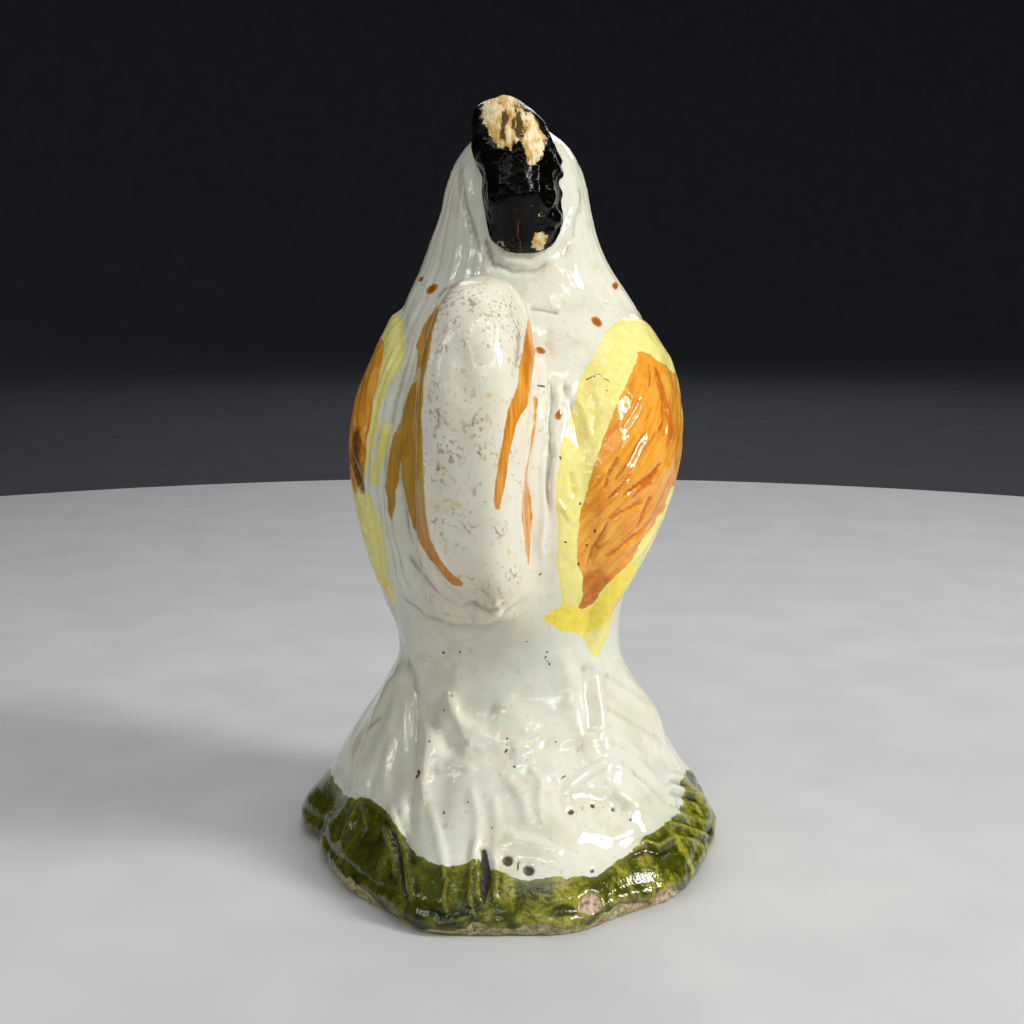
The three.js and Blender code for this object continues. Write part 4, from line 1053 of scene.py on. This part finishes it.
    # yellow and orange enamel under the glaze, thin enough to show brush marks
    brush = m.noise(m.stretch(flowv, (1.0, 0.10, 1.0)), 2.4, 4, 0.65)
    feather = m.noise(m.stretch(flowv, (1.0, 0.16, 1.0)), 1.15, 4, 0.6)
    ycol = m.mix(m.step(mottle, 0.35, 0.70), srgb(248, 240, 158), srgb(245, 232, 128))
    ycol = m.mix(share(m.step(brush, 0.50, 0.80), 0.30), ycol, srgb(232, 214, 100))
    rim_y = m.math('SUBTRACT', 1.0, m.step(m.attr("yellow"), 0.05, 0.6))
    ycol = m.mix(share(rim_y, 0.35), ycol, srgb(226, 212, 92))
    ycol = m.mix(share(edge("deep_yellow", 0.25, 0.07), 0.92), ycol, m.mix(m.step(mottle, 0.40, 0.70), srgb(255, 234, 84), srgb(248, 216, 62)))
    ycol = m.mix(share(m.step(hollow, 0.010, 0.06), 0.35), ycol, srgb(208, 188, 76))
    ocol = m.mix(m.step(feather, 0.34, 0.62), srgb(246, 178, 66), srgb(238, 158, 48))
    ocol = m.mix(share(m.step(mottle, 0.50, 0.72), 0.45), ocol, srgb(228, 136, 34))
    ocol = m.mix(share(m.step(brush, 0.52, 0.75), 0.50), ocol, srgb(218, 122, 30))
    ocol = m.mix(share(m.step(feather, 0.53, 0.66), 0.32), ocol, srgb(210, 112, 28))
    ocol = m.mix(share(m.step(brush, 0.57, 0.66), 0.30), ocol, srgb(204, 100, 28))
    ocol = m.mix(share(m.step(cloud2, 0.50, 0.66), 0.45), ocol, srgb(250, 190, 84))
    lines_ = m.math('ADD', m.attr("feather_lines"), m.math('MULTIPLY', fine, 0.9))
    ocol = m.mix(share(m.step(lines_, 0.25, 1.05), 0.85), ocol, srgb(196, 92, 28))
    ocol = m.mix(share(m.step(hollow, 0.010, 0.06), 0.55), ocol, srgb(184, 88, 30))
    rim_o = m.math('SUBTRACT', 1.0, m.step(m.attr("orange"), 0.0, 0.35))
    ocol = m.mix(share(rim_o, 0.30), ocol, srgb(214, 118, 28))
    tipm = edge("tip_dark", 0.8, 0.45)
    ocol = m.mix(share(tipm, 0.85), ocol, m.mix(m.step(mottle, 0.40, 0.65), srgb(212, 122, 36), srgb(184, 94, 22)))
    col = white
    col = m.mix(edge("yellow", 0.30), col, ycol)
    col = m.mix(edge("orange", 0.30), col, ocol)
    col = m.mix(share(edge("dark_wing", 0.9, 0.42), 0.85), col, srgb(74, 42, 14))

    # tail strokes
    grain = m.noise(m.stretch(place, (1, 0.07, 0.0)), 1.7, 4, 0.6)
    tb = m.mix(m.step(grain, 0.40, 0.60), srgb(180, 126, 34), srgb(126, 78, 16))
    tb = m.mix(share(m.step(grain, 0.30, 0.42), 0.7), tb, srgb(206, 160, 66))
    lowmask = m.step(sepp.outputs[1], 505 * MM, 560 * MM)
    tb = m.mix(share(lowmask, 0.85), tb, m.mix(m.step(grain, 0.35, 0.62), srgb(222, 152, 58), srgb(206, 128, 40)))
    inner_y = m.math('MULTIPLY', m.step(sepp.outputs[0], 414 * MM, 423 * MM), m.math('MULTIPLY', m.step(sepp.outputs[1], 425 * MM, 450 * MM), m.math('SUBTRACT', 1.0, m.step(sepp.outputs[1], 495 * MM, 520 * MM))))
    tb = m.mix(share(inner_y, 0.80), tb, srgb(194, 166, 58))
    tb = m.mix(share(m.step(hollow, 0.02, 0.08), 0.25), tb, srgb(96, 56, 12))
    col = m.mix(edge("tail_brown", 0.26, 0.06), col, tb)
    to = m.mix(m.step(grain, 0.38, 0.62), srgb(234, 164, 58), srgb(206, 124, 30))
    to_rim = m.math('SUBTRACT', 1.0, m.step(m.attr("tail_orange"), 0.0, 0.28))
    to = m.mix(share(to_rim, 0.35), to, srgb(196, 116, 34))
    col = m.mix(edge("tail_orange", 0.20, 0.06), col, to)

    # dabs of orange-brown, darker in the middle
    dabbed = nearest("dab")
    dab = m.math('MAXIMUM', m.math('SUBTRACT', 1.0, m.step(dabbed, 0.88, 1.12)), edge("dabs", 0.3, 0.06))
    col = m.mix(dab, col, m.mix(m.step(finer, -0.1, 0.12), srgb(218, 136, 44), srgb(198, 112, 30)))
    col = m.mix(share(m.math('SUBTRACT', 1.0, m.step(dabbed, 0.50, 0.92)), 0.80), col, srgb(150, 84, 18))

    # small dark pinholes and specks seen in the main view
    holes = m.math('SUBTRACT', 1.0, m.step(nearest("hole"), 0.78, 1.22))
    rusts = m.math('SUBTRACT', 1.0, m.step(nearest("rust"), 0.55, 1.35))
    col = m.mix(share(holes, 0.94), col, m.mix(m.step(finer, -0.10, 0.12), srgb(44, 28, 18), srgb(82, 54, 34)))
    col = m.mix(share(rusts, 0.50), col, srgb(216, 180, 84))

    # green over the foot of the base: transparent, dark where it pools, yellow where it is thin, and painted lighter
    # towards the lit right side
    st = m.attr("streaks")
    pl = m.attr("pools")
    gn = m.math('SUBTRACT', mottle, 0.5)
    gmix = m.math('MULTIPLY_ADD', gn, 1.5, m.math('MULTIPLY', st, 0.75))
    gcol = m.mix(m.step(gmix, -0.35, 0.40), srgb(66, 70, 8), srgb(98, 100, 18))
    gcol = m.mix(m.step(gmix, 0.30, 0.75), gcol, srgb(144, 138, 40))
    # painted light: the green is made lighter and yellower towards the right side, where the key lamp falls
    right_side_painted_light = m.step(m.math('MULTIPLY', sepo.outputs[0], -1.0), -3.0, 15.0)
    gcol = m.mix(m.math('MULTIPLY', right_side_painted_light, share(m.step(gmix, -0.15, 0.45), 0.62)), gcol, srgb(176, 170, 62))
    # thin glaze on ridges shows yellow; the extra amount on the right side is painted light
    gcol = m.mix(share(m.step(m.math('MULTIPLY', hollow, -1.0), 0.01, 0.07), m.math('MULTIPLY_ADD', right_side_painted_light, 0.30, 0.22)), gcol, srgb(190, 184, 78))
    gcol = m.mix(share(m.step(m.math('MULTIPLY_ADD', hollow, 9.0, pl), 0.22, 0.72), 0.85), gcol, srgb(34, 42, 12))
    gcol = m.mix(share(m.step(tiny, 0.46, 0.64), 0.50), gcol, srgb(50, 54, 8))
    gedge = m.math('SUBTRACT', 1.0, m.step(m.attr("green"), 0.1, 1.2))
    gcol = m.mix(share(gedge, 0.30), gcol, srgb(142, 146, 60))
    pool_line = m.math('MULTIPLY', m.step(m.attr("lip"), -1.6, -0.3), m.math('SUBTRACT', 1.0, m.step(m.attr("lip"), -0.2, 0.15)))
    gcol = m.mix(share(m.math('MULTIPLY', pool_line, m.step(cloud2, 0.40, 0.60)), 0.80), gcol, srgb(20, 28, 10))
    haze = share(m.step(m.attr("green"), -1.5, 0.1), 0.20)                # green bleeding into the white above
    col = m.mix(haze, col, srgb(170, 196, 166))
    col = m.mix(edge("green", 0.55, 0.09), col, gcol)

    # worn foot: cream body and grime along the lower edge
    lipm = m.step(m.math('MULTIPLY_ADD', fine, 1.2, m.attr("lip")), 0.04, 0.40)
    lcol = m.mix(m.step(mottle, 0.42, 0.62), srgb(204, 192, 146), srgb(150, 136, 74))
    lcol = m.mix(m.step(tiny, 0.56, 0.70), lcol, srgb(70, 66, 34))
    col = m.mix(share(lipm, 0.86), col, lcol)
    chipm = m.step(m.math('MULTIPLY_ADD', fine, 0.35, m.attr("chip")), -0.06, 0.10)
    ccol = m.mix(m.step(fine, -0.10, 0.14), srgb(204, 182, 154), srgb(136, 106, 86))
    col = m.mix(chipm, col, ccol)
    crackm = m.step(m.math('MULTIPLY_ADD', fine, 0.25, m.attr("crack")), -0.06, 0.10)
    col = m.mix(share(crackm, 0.95), col, m.mix(m.step(fine, -0.05, 0.15), srgb(62, 50, 46), srgb(34, 28, 28)))

    # black comb with its glaze worn through to the cream body
    blackm = m.step(m.math('MULTIPLY_ADD', fine, 0.25, m.attr("black")), -0.05, 0.08)
    wn = m.math('ADD', m.math('MULTIPLY', fine, 1.3), m.math('MULTIPLY', finer, 0.7))
    wearm = m.math('MULTIPLY', m.step(m.math('ADD', m.attr("wear"), wn), -0.04, 0.14), blackm)
    bcol = m.mix(m.step(mottle, 0.45, 0.75), srgb(4, 4, 3), srgb(10, 9, 7))
    scrape = m.noise(m.stretch(place, (1, 0.34, 0)), 1.15, 4, 0.70)
    wcol = m.mix(m.step(m.math('MULTIPLY_ADD', m.attr("left_dark"), 0.10, scrape), 0.34, 0.50), srgb(242, 229, 190), srgb(206, 160, 76))
    wcol = m.mix(share(m.step(mottle, 0.46, 0.62), 0.45), wcol, srgb(226, 196, 132))
    wcol = m.mix(share(m.step(m.math('MULTIPLY_ADD', m.attr("left_dark"), 0.30, scrape), 0.44, 0.54), 0.88), wcol, srgb(30, 21, 10))
    col = m.mix(blackm, col, bcol)
    col = m.mix(m.math('MULTIPLY', rusts, share(blackm, 0.45)), col, srgb(128, 102, 62))
    col = m.mix(share(m.math('MULTIPLY', blackm, m.step(tiny, 0.72, 0.76)), 0.6), col, srgb(150, 126, 84))
    col = m.mix(wearm, col, wcol)

    # painted front of the head
    col = m.mix(edge("beak", 0.2, 0.08), col, m.mix(m.step(mottle, 0.4, 0.65), srgb(228, 176, 62), srgb(202, 138, 38)))
    col = m.mix(edge("wattle", 0.2, 0.06), col, m.mix(m.step(mottle, 0.4, 0.65), srgb(28, 18, 12), srgb(52, 30, 16)))
    col = m.mix(edge("eye", 0.1, 0.06), col, srgb(16, 12, 9))

    # the unglazed underside
    under = m.math('SUBTRACT', 1.0, m.step(sepo.outputs[2], 0.10, 0.55))
    body = m.mix(m.step(cloud2, 0.40, 0.65), srgb(206, 190, 156), srgb(172, 152, 116))
    col = m.mix(under, col, body)

    # gloss: deep and wet on the glaze, dry where it is worn or unglazed
    dry = union(wearm, share(holes, 0.7), share(chipm, 0.95), share(lipm, 0.75), under, share(crackm, 0.7))
    rough_glaze = m.fmix(m.step(cloud2, 0.45, 0.75), 0.045, 0.10)
    rough_glaze = m.fmix(share(tailm, 0.8), rough_glaze, 0.16)
    rough = m.fmix(dry, rough_glaze, 0.62)

    amount = m.math('MULTIPLY_ADD', blackm, 0.12, m.math('MULTIPLY_ADD', m.step(m.attr("green"), 0.0, 0.8), 0.07, 0.025))
    amount = m.math('MULTIPLY_ADD', m.step(m.attr("yellow"), -0.5, 0.8), 0.045, amount)
    amount = m.math('MULTIPLY_ADD', dry, 0.10, amount)
    bump_h = m.math('MULTIPLY', fine, amount)
    bump_h = m.math('MULTIPLY_ADD', holes, -0.10, bump_h)
    bump_h = m.math('MULTIPLY_ADD', wearm, -0.07, bump_h)
    bump = m.new("ShaderNodeBump")
    bump.inputs["Strength"].default_value = 1.0
    bump.inputs["Distance"].default_value = 0.001
    m.feed(bump.inputs["Height"], bump_h)

    shader = m.new("ShaderNodeBsdfPrincipled")
    m.feed(shader.inputs["Base Color"], col)
    m.feed(shader.inputs["Roughness"], rough)
    shader.inputs["IOR"].default_value = 1.5
    shader.inputs["Specular IOR Level"].default_value = gloss
    m.link(bump.outputs["Normal"], shader.inputs["Normal"])
    out = m.new("ShaderNodeOutputMaterial")
    m.link(shader.outputs["BSDF"], out.inputs["Surface"])
    return m.mat


mesh.materials.append(glazed("glazed_pottery_paint", 0.5))
mesh.materials.append(glazed("glazed_black_comb", 0.17))
_on = (black > 0.05)
_quad_on = np.concatenate([_on[quads].all(1), np.array([all(_on[v] for v in q) for q in many], dtype=bool)])
mesh.polygons.foreach_set("material_index", _quad_on.astype(np.int32))

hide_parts("rooster_figurine")
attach(rooster, "root")


# ------------------------------------------------------------------------------------------------ stage, light and camera
def plain_material(name, colour, roughness, tint):
    n = Nodes(name)
    c = n.new("ShaderNodeTexCoord").outputs["Object"]
    k = n.mix(n.step(n.noise(c, 60.0, 4, 0.6), 0.3, 0.7), colour, tint)
    s = n.new("ShaderNodeBsdfPrincipled")
    n.feed(s.inputs["Base Color"], k)
    s.inputs["Roughness"].default_value = roughness
    s.inputs["Specular IOR Level"].default_value = 0.25
    o = n.new("ShaderNodeOutputMaterial")
    n.link(s.outputs["BSDF"], o.inputs["Surface"])
    return n.mat


def turned_sheet(name, prof, material, seg=128):
    """A sheet turned round Z from a profile of (radius, height) that starts on the axis."""
    verts, faces = [(0.0, 0.0, prof[0][1])], []
    for (rad, h) in prof[1:]:
        for k in range(seg):
            a = 2 * PI * k / seg
            verts.append((rad * math.cos(a), rad * math.sin(a), h))
    for k in range(seg):
        faces.append((0, 1 + k, 1 + (k + 1) % seg))
    for ring in range(len(prof) - 2):
        b0, b1 = 1 + ring * seg, 1 + (ring + 1) * seg
        for k in range(seg):
            faces.append((b0 + k, b1 + k, b1 + (k + 1) % seg, b0 + (k + 1) % seg))
    me = bpy.data.meshes.new(name)
    me.from_pydata(verts, [], faces)
    me.polygons.foreach_set("use_smooth", [True] * len(me.polygons))
    me.update()
    ob = bpy.data.objects.new(name, me)
    me.materials.append(material)
    bpy.context.scene.collection.objects.link(ob)
    return ob


# a round pale floor, with a plain darker sweep all round behind it
turned_sheet("stage_floor", [(0.0, 0.0), (0.1, 0.0), (0.34, 0.0), (0.341, -0.001), (0.341, -0.012)],
                      plain_material("stage_pale", srgb(206, 207, 207), 0.7, srgb(200, 201, 202)))
sweep = [(0.0, -0.012), (0.4, -0.012), (1.1, -0.012)] + [(1.1 + 0.5 * math.sin(k * PI / 24), 0.488 - 0.5 * math.cos(k * PI / 24)) for k in range(1, 13)] + [(1.6, 1.0)]
turned_sheet("stage_backdrop", sweep, plain_material("stage_dark", srgb(58, 60, 66), 0.9, srgb(54, 56, 62)))


def cam_frame(right, up, back):
    """A point given from the figure as the main view sees it: right, up and towards the camera, in metres."""
    a = CAM_AZ
    rx, ry = -math.cos(a), -math.sin(a)
    bx, by = -math.sin(a), math.cos(a)
    return Vector((right * rx + back * bx, right * ry + back * by, up))


def area(name, at, to, size, size_y, glow, colour=(1, 1, 1), up=None):
    """A rectangular lamp; glow is its brightness, whatever its size."""
    li = bpy.data.lights.new(name, 'AREA')
    li.shape = 'RECTANGLE'
    li.size, li.size_y = size, size_y
    li.energy = glow * size * size_y * PI
    li.color = colour
    ob = bpy.data.objects.new(name, li)
    bpy.context.scene.collection.objects.link(ob)
    z_ax = (Vector(at) - Vector(to)).normalized()
    x_ax = (Vector(up) if up is not None else Vector((0, 0, 1))).cross(z_ax).normalized()
    y_ax = z_ax.cross(x_ax)
    ob.matrix_world = Matrix.Translation(at) @ Matrix((x_ax, y_ax, z_ax)).transposed().to_4x4()
    return ob


aim = Vector((0, 0, 0.05))
area("key_window", cam_frame(0.52, 0.36, 0.20), aim, 0.13, 0.24, 31.0, (1.0, 0.985, 0.955))
area("sky_soft", cam_frame(0.05, 1.00, -0.10), aim, 0.55, 0.45, 2.0, (0.96, 0.98, 1.0))
area("left_fill", cam_frame(-0.85, 0.30, 0.10), aim, 0.6, 0.6, 0.08, (0.95, 0.98, 1.0))
area("back_fill", cam_frame(0.10, 0.55, -0.85), aim, 0.6, 0.5, 2.2, (1.0, 0.99, 0.97))


def frame_lamp(name, centre, half_x, half_y, width, glow, sides):
    """A thin lamp bent into a closed frame, which leaves crisp loops of light on the glaze."""
    to_frame = (centre - aim).normalized()
    fx = Vector((0, 0, 1)).cross(to_frame).normalized()
    fy = to_frame.cross(fx)
    corner = [((k + 0.5) * 2 * PI / sides) for k in range(sides)]
    corner = [centre + fx * half_x * math.cos(a) + fy * half_y * math.sin(a) for a in corner]
    for k in range(sides):
        a, b = corner[k - 1], corner[k]
        mid = (a + b) / 2
        area("%s_%d" % (name, k), mid, mid - to_frame, (b - a).length, width, glow, (1, 1, 1), up=(b - a).normalized().cross(to_frame))


frame_lamp("loop", cam_frame(0.08, 0.36, 0.39), 0.36, 0.19, 0.0055, 36.0, 12)
frame_lamp("pane", cam_frame(-0.36, 0.30, 0.18), 0.07, 0.07, 0.006, 30.0, 4)

world = bpy.data.worlds.new("soft_room")
world.use_nodes = True
bpy.context.scene.world = world
bg = world.node_tree.nodes["Background"]
bg.inputs[0].default_value = (0.90, 0.95, 1.0, 1)
bg.inputs[1].default_value = 0.15
bpy.context.scene.view_settings.view_transform = "Standard"

cam_data = bpy.data.cameras.new("main_view")
cam_data.sensor_width = 36.0
cam_data.lens = F_PX / 1024 * 36.0
cam_data.clip_start, cam_data.clip_end = 0.01, 20
cam = bpy.data.objects.new("main_view", cam_data)
bpy.context.scene.collection.objects.link(cam)
cam.location = Vector(((CAM_POS[0] - shift[0]) / 1000, (CAM_POS[1] - shift[1]) / 1000, CAM_POS[2] / 1000))
look = Vector((math.sin(CAM_AZ) * math.cos(CAM_PITCH), -math.cos(CAM_AZ) * math.cos(CAM_PITCH), -math.sin(CAM_PITCH)))
cam.rotation_euler = look.to_track_quat('-Z', 'Y').to_euler()
bpy.context.scene.camera = cam
